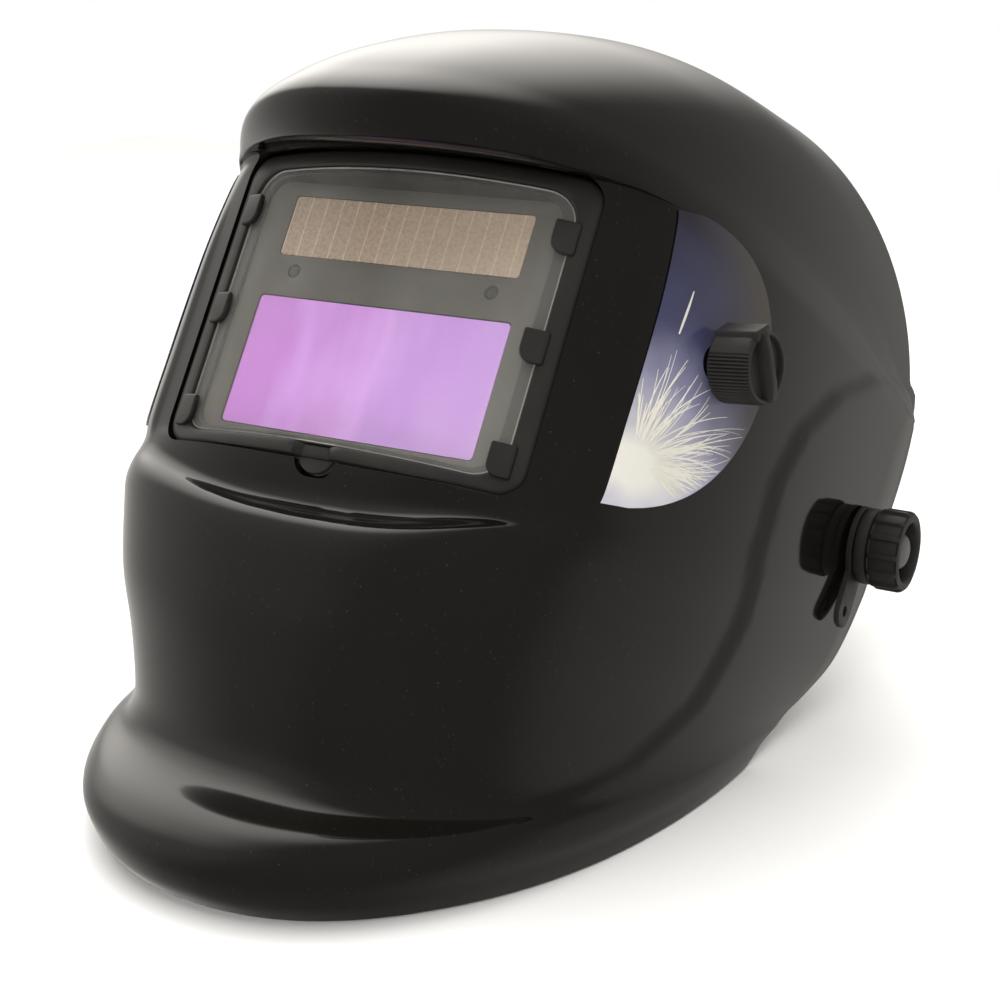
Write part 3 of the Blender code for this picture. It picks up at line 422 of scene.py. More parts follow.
def section_points(section, angles):
    front_y, front_z, flank_y, flank_z, rear_y, rear_z, half, p, q, fade = section
    cosine, sine = np.abs(np.cos(angles)), np.sin(angles)
    x = half * np.sign(sine) * np.abs(sine) ** (2 / p)
    back = 1 - cosine ** (2 / q)
    y = flank_y + (rear_y - flank_y) * back
    z = flank_z + (rear_z - flank_z) * back
    near = 0.5 + 0.5 * np.cos(np.pi * np.clip(np.abs(x) / fade, 0, 1) ** 1.3)
    y = y + (front_y - flank_y) * near
    z = z + (front_z - flank_z) * near
    lateral = smooth((np.abs(x) / half - 0.55) / 0.35)
    raised = smooth(behind_step(y, z) / STEP_BAND + 0.5)
    x = x + np.sign(x) * STEP_HEIGHT * raised * lateral
    return np.stack([x, y, z], -1)


def row_knots():
    run = np.hypot(*np.diff(SECTIONS[:, 0:2], axis=0).T) + 5.0
    return np.concatenate([[0.0], np.cumsum(run)])


def soft_rows(count, spread):
    """Shell sections at even steps, eased along the shell so that reflections flow."""
    knots = row_knots()
    at = np.linspace(0, knots[-1], count)
    fine = np.linspace(-4 * spread, knots[-1] + 4 * spread, 6 * count)
    rows = monotone(knots, SECTIONS, np.clip(fine, 0, knots[-1]))
    eased = []
    for place in at:
        reach = min(spread, 0.4 + 0.5 * min(place, knots[-1] - place))
        weight = np.exp(-0.5 * ((fine - place) / reach) ** 2)
        eased.append((weight[:, None] * rows).sum(0) / weight.sum())
    return np.array(eased)


def dished(grid):
    """Lowers the shell beside the lens frame to meet the frame's curved edge."""
    x, y, z = np.moveaxis(grid, -1, 0)
    up = y * math.sin(LENS_TILT) + z * math.cos(LENS_TILT)
    out = -y * math.cos(LENS_TILT) + z * math.sin(LENS_TILT)
    beside = smooth((DISH_HALF - np.abs(x)) / DISH_BAND)
    level = smooth((up - FRAME_LOW + 4.0) / 10.0) * smooth((FRAME_HIGH + 3.0 - up) / 10.0)
    edge = np.minimum(np.abs(x), FRAME_HALF + 8.0)
    rest = LENS_RISE - LENS_RADIUS + np.sqrt(LENS_RADIUS**2 - edge**2) + 0.7
    drop = beside * level * np.clip(out - rest, 0.0, DISH_DEPTH)
    return grid + drop[..., None] * np.array([0, math.cos(LENS_TILT), -math.sin(LENS_TILT)])


def grid_normals(grid):
    across = np.gradient(grid, axis=1)
    along = np.gradient(grid, axis=0)
    normal = np.cross(across, along)
    return normal / np.maximum(np.linalg.norm(normal, axis=-1, keepdims=True), 1e-9)


SHELL_ROWS, SHELL_COLUMNS = 250, 171
share = np.linspace(-1, 1, SHELL_COLUMNS)
shell_angles = np.sign(share) * np.abs(share) ** 0.92 * math.pi / 2
SKIN = dished(np.stack([section_points(row, shell_angles) for row in soft_rows(SHELL_ROWS, 2.0)]))
SKIN_NORMALS = grid_normals(SKIN)


def side_spot(y, z):
    """Point and outward normal on the shell's left side at height z, depth y."""
    left = SHELL_COLUMNS // 2 + 8
    area = SKIN[:, left:]
    miss = (area[..., 1] - y) ** 2 + (area[..., 2] - z) ** 2
    near = np.argsort(miss, axis=None)[:12]
    weight = 1.0 / (miss.flat[near] + 0.02)
    weight /= weight.sum()
    points = area.reshape(-1, 3)[near]
    normals = SKIN_NORMALS[:, left:].reshape(-1, 3)[near]
    normal = (weight[:, None] * normals).sum(0)
    normal /= np.linalg.norm(normal)
    offset = ((weight[:, None] * (points - np.array([0, y, z]))) @ normal).sum()
    return np.array([offset / normal[0], y, z]), normal


# ------------------------------------------------------------ mesh building

def make(name, verts, faces, matrix=HELMET, finish=None, sharp=38.0, uv=None):
    """One object in the frame's metres from millimetre points in the matrix's axes."""
    mesh = bpy.data.meshes.new(name)
    mesh.from_pydata([(matrix @ Vector(v)) * MM for v in verts], [], faces)
    work = bmesh.new()
    work.from_mesh(mesh)
    bmesh.ops.remove_doubles(work, verts=work.verts, dist=2e-7)
    bmesh.ops.recalc_face_normals(work, faces=work.faces)
    work.to_mesh(mesh)
    work.free()
    mesh.validate()
    made = bpy.data.objects.new(name, mesh)
    bpy.context.scene.collection.objects.link(made)
    if finish:
        mesh.materials.append(finish)
    if uv:
        lay_uv(mesh, matrix, uv)
    shade(made, sharp)
    return made


def lay_uv(mesh, matrix, uv):
    """UVs from each vertex's place in millimetres through the given function."""
    back = matrix.inverted()
    layer = mesh.uv_layers.new(name="flat")
    for loop in mesh.loops:
        point = back @ (mesh.vertices[loop.vertex_index].co / MM)
        layer.data[loop.index].uv = uv(point)


def shade(made, sharp=38.0):
    made.data.shade_smooth()
    made.data.set_sharp_from_angle(angle=math.radians(sharp))


def settle(made):
    """Applies the object's modifiers to its mesh."""
    depsgraph = bpy.context.evaluated_depsgraph_get()
    mesh = bpy.data.meshes.new_from_object(made.evaluated_get(depsgraph))
    made.modifiers.clear()
    old, made.data = made.data, mesh
    name = old.name
    bpy.data.meshes.remove(old)
    mesh.name = name
    return made


def subtract(target, tool):
    """Cuts the tool's shape out of the target and removes the tool."""
    modifier = target.modifiers.new("cut", "BOOLEAN")
    modifier.operation = "DIFFERENCE"
    modifier.solver = "EXACT"
    modifier.object = tool
    settle(target)
    mesh = tool.data
    bpy.data.objects.remove(tool)
    bpy.data.meshes.remove(mesh)


def soften(made, width, segments=3, angle=35.0, sharp=38.0):
    """Rounds the object's edges by a width in millimetres."""
    bevel = made.modifiers.new("soften", "BEVEL")
    bevel.width = width * MM
    bevel.segments = segments
    bevel.limit_method = "ANGLE"
    bevel.angle_limit = math.radians(angle)
    bevel.harden_normals = False
    settle(made)
    shade(made, sharp)
    return made


def dress(made, body, slot, finish=None, *nodes):
    """Gives a piece its body and material and hides the CAD nodes it stands for; the slot
    argument is not used.
    """
    if finish:
        made.data.materials.clear()
        made.data.materials.append(finish)
    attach(made, body)
    if nodes:
        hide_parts(*nodes)
    return made


def from_cad(node, name, width, segments=2):
    """A CAD node's own shape with its flat faces joined up and its edges rounded."""
    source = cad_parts[node]
    mesh = source.data.copy()
    mesh.name = name
    made = bpy.data.objects.new(name, mesh)
    bpy.context.scene.collection.objects.link(made)
    work = bmesh.new()
    work.from_mesh(mesh)
    bmesh.ops.remove_doubles(work, verts=work.verts, dist=5e-6)
    bmesh.ops.dissolve_limit(work, angle_limit=math.radians(1.5), verts=work.verts,
                             edges=work.edges)
    work.to_mesh(mesh)
    work.free()
    mesh.transform(source.matrix_world)
    return soften(made, width, segments)


def extrude(outline, low, high):
    count = len(outline)
    verts = [(x, y, low) for x, y in outline] + [(x, y, high) for x, y in outline]
    faces = [tuple(reversed(range(count))), tuple(range(count, 2 * count))]
    for i in range(count):
        j = (i + 1) % count
        faces.append((i, j, count + j, count + i))
    return verts, faces


def rings(loops, close_ends=True, close_round=False):
    """Join equal loops of points into a tube; cap its ends or close it on itself."""
    count = len(loops[0])
    verts = [tuple(p) for loop in loops for p in loop]
    faces = []
    last = len(loops) if close_round else len(loops) - 1
    for k in range(last):
        a, b = k * count, ((k + 1) % len(loops)) * count
        for i in range(count):
            j = (i + 1) % count
            faces.append((a + i, a + j, b + j, b + i))
    if close_ends and not close_round:
        faces.append(tuple(reversed(range(count))))
        faces.append(tuple(range((len(loops) - 1) * count, len(loops) * count)))
    return verts, faces


def turned(profile, segments, hollow=False, change=None):
    """Body turned about Z from (radius, z) pairs; change(row, angle, radius) may reshape it."""
    loops = []
    for row, (radius, z) in enumerate(profile):
        loop = []
        for k in range(segments):
            angle = 2 * math.pi * k / segments
            r = change(row, angle, radius) if change else radius
            loop.append((r * math.cos(angle), r * math.sin(angle), z))
        loops.append(loop)
    return rings(loops, close_ends=not hollow, close_round=hollow)


def placed(verts, matrix):
    return [tuple(matrix @ Vector(v)) for v in verts]


def spun(name, profile, segments, place, hollow=False, change=None, **how):
    """One turned body as an object, its local Z carried along by place."""
    verts, faces = turned(profile, segments, hollow, change)
    return make(name, placed(verts, place), faces, **how)


def block(name, outline, low, high, place, **how):
    """One extruded outline as an object, its local Z carried along by place."""
    verts, faces = extrude(outline, low, high)
    return make(name, placed(verts, place), faces, **how)


def cut(target, outline, low, high, place, matrix=HELMET):
    """Cuts an extruded outline out of the target along place's local Z."""
    subtract(target, block("tool", outline, low, high, place, matrix=matrix))


def axis_matrix(point, axis, up=(0, 0, 1)):
    """Local Z onto the given axis, local Y as near up as it can be, at point."""
    z_axis = Vector(axis).normalized()
    x_axis = Vector(up).cross(z_axis).normalized()
    y_axis = z_axis.cross(x_axis)
    turn = Matrix((x_axis, y_axis, z_axis)).transposed().to_4x4()
    return Matrix.Translation(Vector(point)) @ turn


def rounded_box(width, height, radius, steps=6, centre=(0.0, 0.0)):
    points = []
    for sx, sy, start in ((1, 1, 0), (-1, 1, 90), (-1, -1, 180), (1, -1, 270)):
        for k in range(steps + 1):
            angle = math.radians(start + 90 * k / steps)
            points.append((
                centre[0] + sx * (width / 2 - radius) + radius * math.cos(angle),
                centre[1] + sy * (height / 2 - radius) + radius * math.sin(angle),
            ))
    return points


def disc(radius, segments, centre=(0.0, 0.0)):
    turns = [2 * math.pi * k / segments for k in range(segments)]
    return [(centre[0] + radius * math.cos(a), centre[1] + radius * math.sin(a)) for a in turns]


# ------------------------------------------------------------- lens geometry

def lens_point(x, up, out):
    """From lens axes (across, up the glass, out of the glass) to helmet axes."""
    return (
        x,
        up * math.sin(LENS_TILT) - out * math.cos(LENS_TILT),
        up * math.cos(LENS_TILT) + out * math.sin(LENS_TILT),
    )


def lens_place(point):
    """Across and up the glass of a point in helmet axes."""
    return point[0], point[1] * math.sin(LENS_TILT) + point[2] * math.cos(LENS_TILT)


def lens_matrix(x=0.0, up=0.0, out=0.0, flip=False):
    """Local X across, local Y up the glass, local Z out of it; flip faces inward."""
    x_axis = Vector((-1, 0, 0)) if flip else Vector((1, 0, 0))
    y_axis = Vector(lens_point(0, 1, 0))
    turn = Matrix((x_axis, y_axis, x_axis.cross(y_axis))).transposed().to_4x4()
    return Matrix.Translation(Vector(lens_point(x, up, out))) @ turn


def bulge(x):
    return LENS_RISE - (LENS_RADIUS - math.sqrt(LENS_RADIUS**2 - x * x))


def lens_block(outline, low, high):
    verts, faces = extrude(outline, low, high)
    return [lens_point(*v) for v in verts], faces


def lens_loop(half, low, high, radius, steps=10, across=48, upward=30):
    """Points round a rounded rectangle in lens axes, evenly split, always as many."""
    points = []
    corners = ((half - radius, high - radius, 0), (-half + radius, high - radius, 90),
               (-half + radius, low + radius, 180), (half - radius, low + radius, 270))
    for k, (cx, cy, start) in enumerate(corners):
        for i in range(steps + 1):
            angle = math.radians(start + 90 * i / steps)
            points.append((cx + radius * math.cos(angle), cy + radius * math.sin(angle)))
        nx, ny, turn = corners[(k + 1) % 4]
        first = points[-1]
        angle = math.radians(turn)
        last = (nx + radius * math.cos(angle), ny + radius * math.sin(angle))
        count = across if k % 2 == 0 else upward
        for i in range(1, count):
            points.append((first[0] + (last[0] - first[0]) * i / count,
                           first[1] + (last[1] - first[1]) * i / count))
    return points


# -------------------------------------------------------------------- shell

def make_shell():
    outer = SKIN
    inner = outer - SHELL_WALL * SKIN_NORMALS
    rows, cols = outer.shape[:2]
    verts = [tuple(p) for p in outer.reshape(-1, 3)] + [tuple(p) for p in inner.reshape(-1, 3)]
    shift = rows * cols
    faces = []
    for i in range(rows - 1):
        for j in range(cols - 1):
            a, b = i * cols + j, i * cols + j + 1
            c, d = a + cols, b + cols
            faces.append((a, b, d, c))
            faces.append((shift + a, shift + c, shift + d, shift + b))
    border = (
        [(0, j, 1, j) for j in range(cols)]
        + [(i, cols - 1, i, cols - 2) for i in range(1, rows)]
        + [(rows - 1, j, rows - 2, j) for j in range(cols - 2, -1, -1)]
        + [(i, 0, i, 1) for i in range(rows - 2, 0, -1)]
    )
    strips = []
    for i, j, k, m in border:
        away = outer[i, j] - outer[k, m]
        away /= np.linalg.norm(away)
        line = [i * cols + j]
        for turn in (35, 65, 90, 115, 145):
            angle = math.radians(turn)
            middle = (outer[i, j] + inner[i, j]) / 2
            point = (middle + (outer[i, j] - middle) * math.cos(angle)
                     + away * 1.05 * math.sin(angle))
            line.append(len(verts))
            verts.append(tuple(point))
        line.append(shift + i * cols + j)
        strips.append(line)
    for k, line in enumerate(strips):
        after = strips[(k + 1) % len(strips)]
        for m in range(len(line) - 1):
            faces.append((line[m], line[m + 1], after[m + 1], after[m]))
    shell = make("helmet_shell", verts, faces, finish=SHELL)

    gap, bore = 0.45, disc(4.2, 40)
    loops = []
    for x, inset in window_columns(FRAME_HALF + gap, 8.4, 12, 40):
        low, high = FRAME_LOW - gap + inset, FRAME_HIGH + gap - inset
        front = max(bulge(x) + 3.5, 7.6)
        loops.append([lens_point(x, low, -14), lens_point(x, high, -14),
                      lens_point(x, high, front), lens_point(x, low, front)])
    subtract(shell, make("tool", *rings(loops)))
    finger_relief = rounded_box(14.4, 12.0, 5.0, 8, (0, FRAME_LOW + 0.6))
    subtract(shell, make("tool", *lens_block(finger_relief, 5.0, 40.0)))
    for side in (1, -1):
        cut(shell, bore, 0, 40, axis_matrix((side * 90, PIVOT_Y, PIVOT_Z), (side, 0, 0)))
    cut(shell, bore, -14, 14, axis_matrix(*shade_mount()))
    floor_plane = extrude([(-200, -250), (200, -250), (200, 250), (-200, 250)], -15.0, 0.0)
    subtract(shell, make("tool", *floor_plane, matrix=Matrix.Identity(4)))
    shade(shell, 40.0)
    dress(shell, "shell", "shell_gloss", SHELL, "shell")


def window_columns(half, radius, steps, middle):
    """Across positions of a rounded rectangle with the corner's inset at each."""
    spots = []
    for k in range(steps + 1):
        angle = math.radians(90 * k / steps)
        spots.append((half - radius + radius * math.cos(angle), radius * (1 - math.sin(angle))))
    span = half - radius
    inner = [(span - 2 * span * k / middle, 0.0) for k in range(1, middle)]
    return spots + inner + [(-x, inset) for x, inset in reversed(spots)]


def shade_mount():
    spot, normal = side_spot(SHADE_Y, SHADE_Z)
    axis = Vector(normal) * 0.4 + Vector((1, 0, 0)) * 0.6
    return tuple(spot), tuple(axis.normalized())


# ---------------------------------------------------------------- lens block

def make_frame():
    outer = (FRAME_HALF, FRAME_LOW, FRAME_HIGH, 8.0)
    hole = (54.0, -24.5, 60.5, 7.0)
    pocket = (55.4, -29.4, 61.4, 1.6)
    flange = (69.3, -35.0, 77.5, 10.0)
    profile = [
        (flange, None, -6.5), (outer, None, -6.5), (outer, 0.0, -1.5),
        ((65.0, -30.8, 67.8, 7.9), 0.0, -0.7), ((64.5, -30.3, 67.3, 7.6), 0.0, -0.2),
        ((63.7, -29.6, 66.6, 7.4), 0.0, 0.0),
        ((62.4, -29.0, 65.6, 8.0), 0.0, 0.05), ((60.2, -27.9, 64.2, 9.5), 0.0, 0.0),
        ((59.3, -27.2, 63.3, 10.2), 0.0, -0.25), ((58.8, -26.8, 62.8, 10.3), 0.0, -0.8),
        ((58.8, -26.8, 62.8, 10.3), 0.0, -2.2), ((55.0, -25.2, 61.2, 8.0), 0.0, -2.2),
        ((54.2, -24.6, 60.6, 7.2), 0.0, -2.6), (hole, None, 0.55), (pocket, None, 0.55),
        (pocket, None, -9.0), (flange, None, -9.0),
    ]
    loops = []
    for box, follow, out in profile:
        loop = []
        for x, up in lens_loop(*box):
            rise = out if follow is None else bulge(x) + out
            if follow is not None and up < -22.0:
                dip = 2.4 * float(smooth((7.2 - abs(x)) / 2.6))
                rise -= dip if out > -2.0 else 0.0
            loop.append(lens_point(x, up, rise))
        loops.append(loop)
    piece = make("lens_bezel", *rings(loops, close_round=True), sharp=30.0)
    dress(piece, "shell", "frame_satin", SATIN, "lens_frame")
    for side, tag in ((1, "left"), (-1, "right")):
        for k, up in enumerate(TAB_LEVELS):
            make_tab(f"lens_tab_{tag}_{k + 1}", side, up)
    half = 6.5
    tongue = []
    for angle in (math.radians(a) for a in range(180, 361, 9)):
        tongue.append((half * math.cos(angle), FRAME_LOW + 1.5 + 6.0 * math.sin(angle)))
    tongue += [(half, FRAME_LOW + 2.4), (-half, FRAME_LOW + 2.4)]
    piece = soften(make("lens_tongue", *lens_block(tongue, 6.6, 9.2)), 0.6, 4)
    dress(piece, "shell", "frame_satin", SATIN)


def make_tab(name, side, up):
    """D-shaped tab over the cover lens: round lower inner corner, squared top."""
    outline = []
    corners = ((60.4, up + 4.3, 0.8, 0), (54.8, up + 4.3, 0.8, 90),
               (57.8, up - 1.3, 3.8, 180), (60.4, up - 4.3, 0.8, 270))
    for cx, cy, radius, start in corners:
        for k in range(9):
            angle = math.radians(start + 90 * k / 8)
            outline.append((cx + radius * math.cos(angle), cy + radius * math.sin(angle)))
    loops = [[lens_point(side * x, y, bulge(x) + out) for x, y in outline] for out in (-0.8, 1.5)]
    piece = soften(make(name, *rings(loops)), 0.7, 4)
    dress(piece, "shell", "frame_satin", SATIN)


def make_cover():
    """The clear lens: one rounded sheet bent along the bulge, with eased edges."""
    profile = [(0.25, -1.95), (0.0, -1.7), (0.0, -1.25), (0.25, -1.0)]
    loops = []
    for inset, out in profile:
        loop = lens_loop(COVER_HALF - inset, COVER_LOW + inset, COVER_HIGH - inset,
                         COVER_ROUND - inset, upward=1)
        loops.append([lens_point(x, up, bulge(x) + out) for x, up in loop])
    verts, faces = rings(loops, close_ends=False)
    count = len(loops[0])
    # each loop runs along the top, then back along the bottom at the same places across
    for base in (0, len(verts) - count):
        for i in range(count // 2 - 1):
            low = count - 1 - i
            faces.append((base + i, base + i + 1, base + low - 1, base + low))
    piece = make("cover_lens", verts, faces, finish=COVER, sharp=30.0)
    piece.data.materials.append(COVER_EDGE)
    for face in piece.data.polygons:
        x, up = lens_place(HELMET.inverted() @ (face.center / MM))
        inside = min(COVER_HALF - abs(x), up - COVER_LOW, COVER_HIGH - up)
        face.material_index = int(inside < 0.3 or corner_gap(abs(x), up) < 0.3)
    dress(piece, "shell", "cover_clear", None, "front_cover_lens")


def make_optics():
    make_cover()
    cartridge = from_cad("filter_housing", "filter_body", 0.45)
    dress(cartridge, "shell", "cartridge_black", BODY, "filter_housing")

    pane("filter_window", GLASS_SIZE, 0.0, 1.4, (-7.8, -0.2), "filter_violet", GLASS,
         "filter_glass")
    pane("solar_strip", STRIP_SIZE, STRIP_UP, 1.2, (-1.3, -0.1), "solar_brown", CELLS,
         "solar_panel")
    dome = [(2.1, -1.2), (2.1, -0.5), (1.9, -0.15), (1.4, 0.1), (0.7, 0.22), (0.15, 0.26)]
    for tag, x in (("right", -SENSOR_X), ("left", SENSOR_X)):
        piece = spun("arc_eye_" + tag, dome, 32, lens_matrix(x, SENSOR_UP))
        dress(piece, "shell", "sensor_dark", SENSOR, "arc_sensor_" + tag)

    plate = make("inner_lens", *lens_block(rounded_box(103.0, 50.0, 2.0, 6), -10.3, -9.3))
    dress(plate, "shell", "cover_clear", COVER, "inner_cover_lens")
    rest = from_cad("filter_retainer", "inner_frame", 0.5, 3)
    dress(rest, "shell", "frame_satin", SATIN, "filter_retainer")
    for node, x in (("sensitivity_dial", 24.0), ("delay_dial", -24.0)):
        make_dial(node, x)


def pane(name, size, up, corner, depth, slot, finish, node):
    """Flat rounded pane of the cartridge, its UVs from 0 to 1 over its size."""
    width, height = size
    outline = rounded_box(width, height, corner, 6, (0, up))

    def unit(point):
        x, level = lens_place(point)
        return x / width + 0.5, (level - up) / height + 0.5

    dress(make(name, *lens_block(outline, *depth), uv=unit), "shell", slot, finish, node)


def corner_gap(x, up):
    """Distance inside the cover lens's rounded corners."""
    cx = COVER_HALF - COVER_ROUND
    cy = COVER_HIGH - COVER_ROUND if up > 0 else COVER_LOW + COVER_ROUND
    beyond = x > cx and (up > cy if up > 0 else up < cy)
    return COVER_ROUND - math.hypot(x - cx, up - cy) if beyond else 1e3


def make_dial(node, x):
    """Small adjusting dial on the back of the cartridge: scalloped rim, pointer slot."""
    profile = [(6.0, 0.0), (6.75, 0.5), (6.9, 0.9), (6.9, 2.1), (6.6, 2.55), (6.0, 2.8),
               (5.2, 2.8), (4.9, 2.6), (0.3, 2.6)]

    def scallop(row, angle, radius):
        return radius - 0.4 * max(0.0, math.cos(9 * angle)) ** 3 if 1 <= row <= 4 else radius

    turn = lens_matrix(x, 44.0, -5.9, flip=True)
    made = spun(node + "_cap", profile, 108, turn, change=scallop)
    cut(made, rounded_box(1.4, 8.0, 0.6, 4, (0, 0.6)), 1.9, 5.0, turn)
    shade(made, 35.0)
    dress(made, node, "dial_black", KNOB, node)


# -------------------------------------------------------------- shade control

def make_shade_control():
    spot, axis = shade_mount()
    turn = axis_matrix(spot, axis)
    pointing = turn @ Matrix.Rotation(KNOB_TURN, 4, "Z")
    profile = [(3.6, 3.2), (10.4, 3.1), (11.0, 3.4), (11.4, 4.0), (11.4, 9.0), (11.4, 15.8),
               (11.1, 16.5), (10.6, 17.1), (10.0, 17.3), (9.5, 17.1), (9.3, 16.5), (9.2, 15.7),
               (0.4, 15.5)]

    def ribbed(row, angle, radius):
        if not 2 <= row <= 6:
            return radius
        from_top = abs((math.degrees(angle) - 90 + 180) % 360 - 180)
        rib = 0.5 + 0.5 * math.cos(64 * angle)
        on = float(smooth((from_top - 48) / 5))
        return radius - 0.6 * on * rib**2 - 0.2 * on

    knob = spun("shade_dial", profile, 576, pointing, change=ribbed, sharp=32.0)
    dress(knob, "shade_knob", "knob_black", KNOB, "shade_knob")
    lug = [(-4.4, 9.0), (4.4, 9.0), (3.7, 12.3), (-3.7, 12.3)]
    piece = soften(block("shade_pointer", lug, 3.4, 17.8, pointing), 0.7, 4)
    dress(piece, "shade_knob", "knob_black", KNOB)
    loops = []
    for y, high, half in ((-10.6, 17.0, 3.4), (-10.0, 18.6, 3.0), (-5.0, 19.3, 2.2),
                          (5.0, 19.3, 1.8), (10.2, 18.8, 2.0), (11.4, 17.6, 2.2)):
        loops.append([(-half, y, 15.0), (half + 0.8, y, 15.0),
                      (half * 0.5, y, high), (-half * 0.6, y, high)])
    verts, faces = rings(loops)
    piece = soften(make("shade_fin", placed(verts, pointing), faces), 0.4, 3)
    dress(piece, "shade_knob", "knob_black", KNOB)

    body = [(11.0, -15.0), (11.0, -7.6), (10.4, -7.0), (3.7, -6.7), (3.7, 2.6), (2.9, 2.8),
            (2.9, 9.0)]
    piece = soften(spun("shade_pot", body, 72, turn), 0.3, 2)
    dress(piece, "shell", "pivot_metal", STEEL, "shade_potentiometer")
    nut = from_cad("shade_nut", "shade_hex", 0.2)
    dress(nut, "shell", "pivot_metal", STEEL, "shade_nut")
    start = turn @ Vector((-6.0, 0, -15.3))
    path = [start, start + Vector((-5, 2, -2)), Vector((76, 40, 14)), Vector((66, 30, 17)),
            Vector(lens_point(56.0, 28.0, -17.5)), Vector(lens_point(49.6, 30.0, -15.5)),
            Vector(lens_point(49.0, 30.0, -9.4))]
    piece = make("shade_lead", *tube(curve_through(path, 10), 1.3, 16))
    dress(piece, "shell", "cable_black", RUBBER, "shade_cable")


def curve_through(points, per_span):
    """Catmull-Rom points through the given path."""
    path = [points[0] * 2 - points[1]] + list(points) + [points[-1] * 2 - points[-2]]
    found = []
    for k in range(1, len(path) - 2):
        p0, p1, p2, p3 = path[k - 1], path[k], path[k + 1], path[k + 2]
        for i in range(per_span):
            t = i / per_span
            found.append(0.5 * (2 * p1 + (p2 - p0) * t
                                + (2 * p0 - 5 * p1 + 4 * p2 - p3) * t * t
                                + (3 * p1 - p0 - 3 * p2 + p3) * t**3))
    found.append(Vector(points[-1]))
    return found


def tube(points, radius, sides):
    loops = []
    side = Vector((0, 0, 1))
    for k, point in enumerate(points):
        ahead = points[min(k + 1, len(points) - 1)] - points[max(k - 1, 0)]
        ahead.normalize()
        side = (side - ahead * side.dot(ahead)).normalized()
        other = ahead.cross(side)
        loops.append([
            point + radius * (side * math.cos(2 * math.pi * s / sides)
                              + other * math.sin(2 * math.pi * s / sides))
            for s in range(sides)
        ])
    return rings(loops)


# ------------------------------------------------------------------- decals

DECAL_LOW, DECAL_HIGH = -26.6, 62.9
DECAL_REACH, DECAL_MIDDLE, DECAL_HALF = 44.8, 18.3, 45.4


def decal_front(height):
    return 12.3 + 0.245 * height


def decal_reach(height):
    from_middle = (height - DECAL_MIDDLE) / DECAL_HALF
    return DECAL_REACH * math.sqrt(max(1 - from_middle**2, 0.0)) + 0.6


def make_decals():
    """Half-round stickers on the temples, with a burst of sparks printed on each."""
    steps, across = 110, 44
    tall = DECAL_HIGH - DECAL_LOW
    for side, tag in ((1, "left"), (-1, "right")):
        loops = []
        for k in range(steps + 1):
            z = DECAL_LOW + tall * k / steps
            row = [side_spot(decal_front(z) + decal_reach(z) * i / across, z)
                   for i in range(across + 1)]
            over = [s + n * 0.72 for s, n in row]
            under = [s + n * 0.45 for s, n in row]
            loops.append([(side * p[0], p[1], p[2]) for p in over + under[::-1]])
        piece = make("temple_decal_" + tag, *rings(loops), finish=PRINT,
                     uv=lambda p: ((p[1] - 5.0) / 60.0, (p[2] - DECAL_LOW) / tall))
        if side > 0:
            cut(piece, disc(6.2, 48), -6.0, 10.0, axis_matrix(*shade_mount()))
            shade(piece)
        dress(piece, "shell", "decal_print", PRINT, "decal_" + tag)
        make_sparks(side, tag)


def make_sparks(side, tag):
    """Thin pale streaks that fly out of the burst and bend down, as raised ink."""
    draw = random.Random(7)
    burst_y, burst_z = 13.5, -13.0
    verts, faces = [], []
    for _ in range(120):
        angle = math.radians(draw.uniform(-28, 88))
        reach = draw.uniform(18, 46) * (1.0 if angle < 0.9 else 0.8)
        begin = draw.uniform(5, 10)
        bend, half = draw.uniform(-0.008, 0.014), draw.uniform(0.08, 0.20)
        points = []
        for i in range(25):
            run = begin + (reach - begin) * i / 24
            turn = angle - bend * run
            points.append((burst_y + run * math.cos(turn), burst_z + run * math.sin(turn)))
        verts, faces = add_streak(verts, faces, points, half)
    lone = [(25.5 + 4.6 * i / 12, 26.0 + 13.5 * i / 12) for i in range(13)]
    verts, faces = add_streak(verts, faces, lone, 0.35)
    verts = [(side * x, y, z) for x, y, z in verts]
    piece = make("temple_sparks_" + tag, verts, faces)
    dress(piece, "shell", "decal_print", SPARK)


def add_streak(verts, faces, points, half):
    """A closed sliver along the points that lie on the decal, thin at both ends."""
    keep = []
    for y, z in points:
        inside = DECAL_LOW + 0.8 < z < DECAL_HIGH - 1.0
        if inside and decal_front(z) + 0.6 < y < decal_front(z) + decal_reach(z) - 0.6:
            if math.hypot(y - SHADE_Y, z - SHADE_Z) > 7.5:
                keep.append((y, z))
                continue
        if len(keep) > 5:
            break
        keep = []
    if len(keep) < 6:
        return verts, faces
    start, last = len(verts), len(keep) - 1
    for k, (y, z) in enumerate(keep):
        before, after = keep[max(k - 1, 0)], keep[min(k + 1, last)]
        dy, dz = after[0] - before[0], after[1] - before[1]
        run = math.hypot(dy, dz)
        width = half * (0.25 + 0.75 * math.sin(math.pi * (0.15 + 0.8 * k / last)))
        for sign in (1, -1):
            spot, normal = side_spot(y - sign * dz / run * width, z + sign * dy / run * width)
            for lift in (0.66, 0.78):
                verts.append(tuple(spot + normal * lift))
    for k in range(last):
        a, b = start + 4 * k, start + 4 * k + 4
        for i, j in ((0, 1), (1, 3), (3, 2), (2, 0)):
            faces.append((a + i, a + j, b + j, b + i))
    faces.append((start, start + 2, start + 3, start + 1))
    end = start + 4 * last
    faces.append((end, end + 1, end + 3, end + 2))
    return verts, faces


# ------------------------------------------------------------ pivot hardware

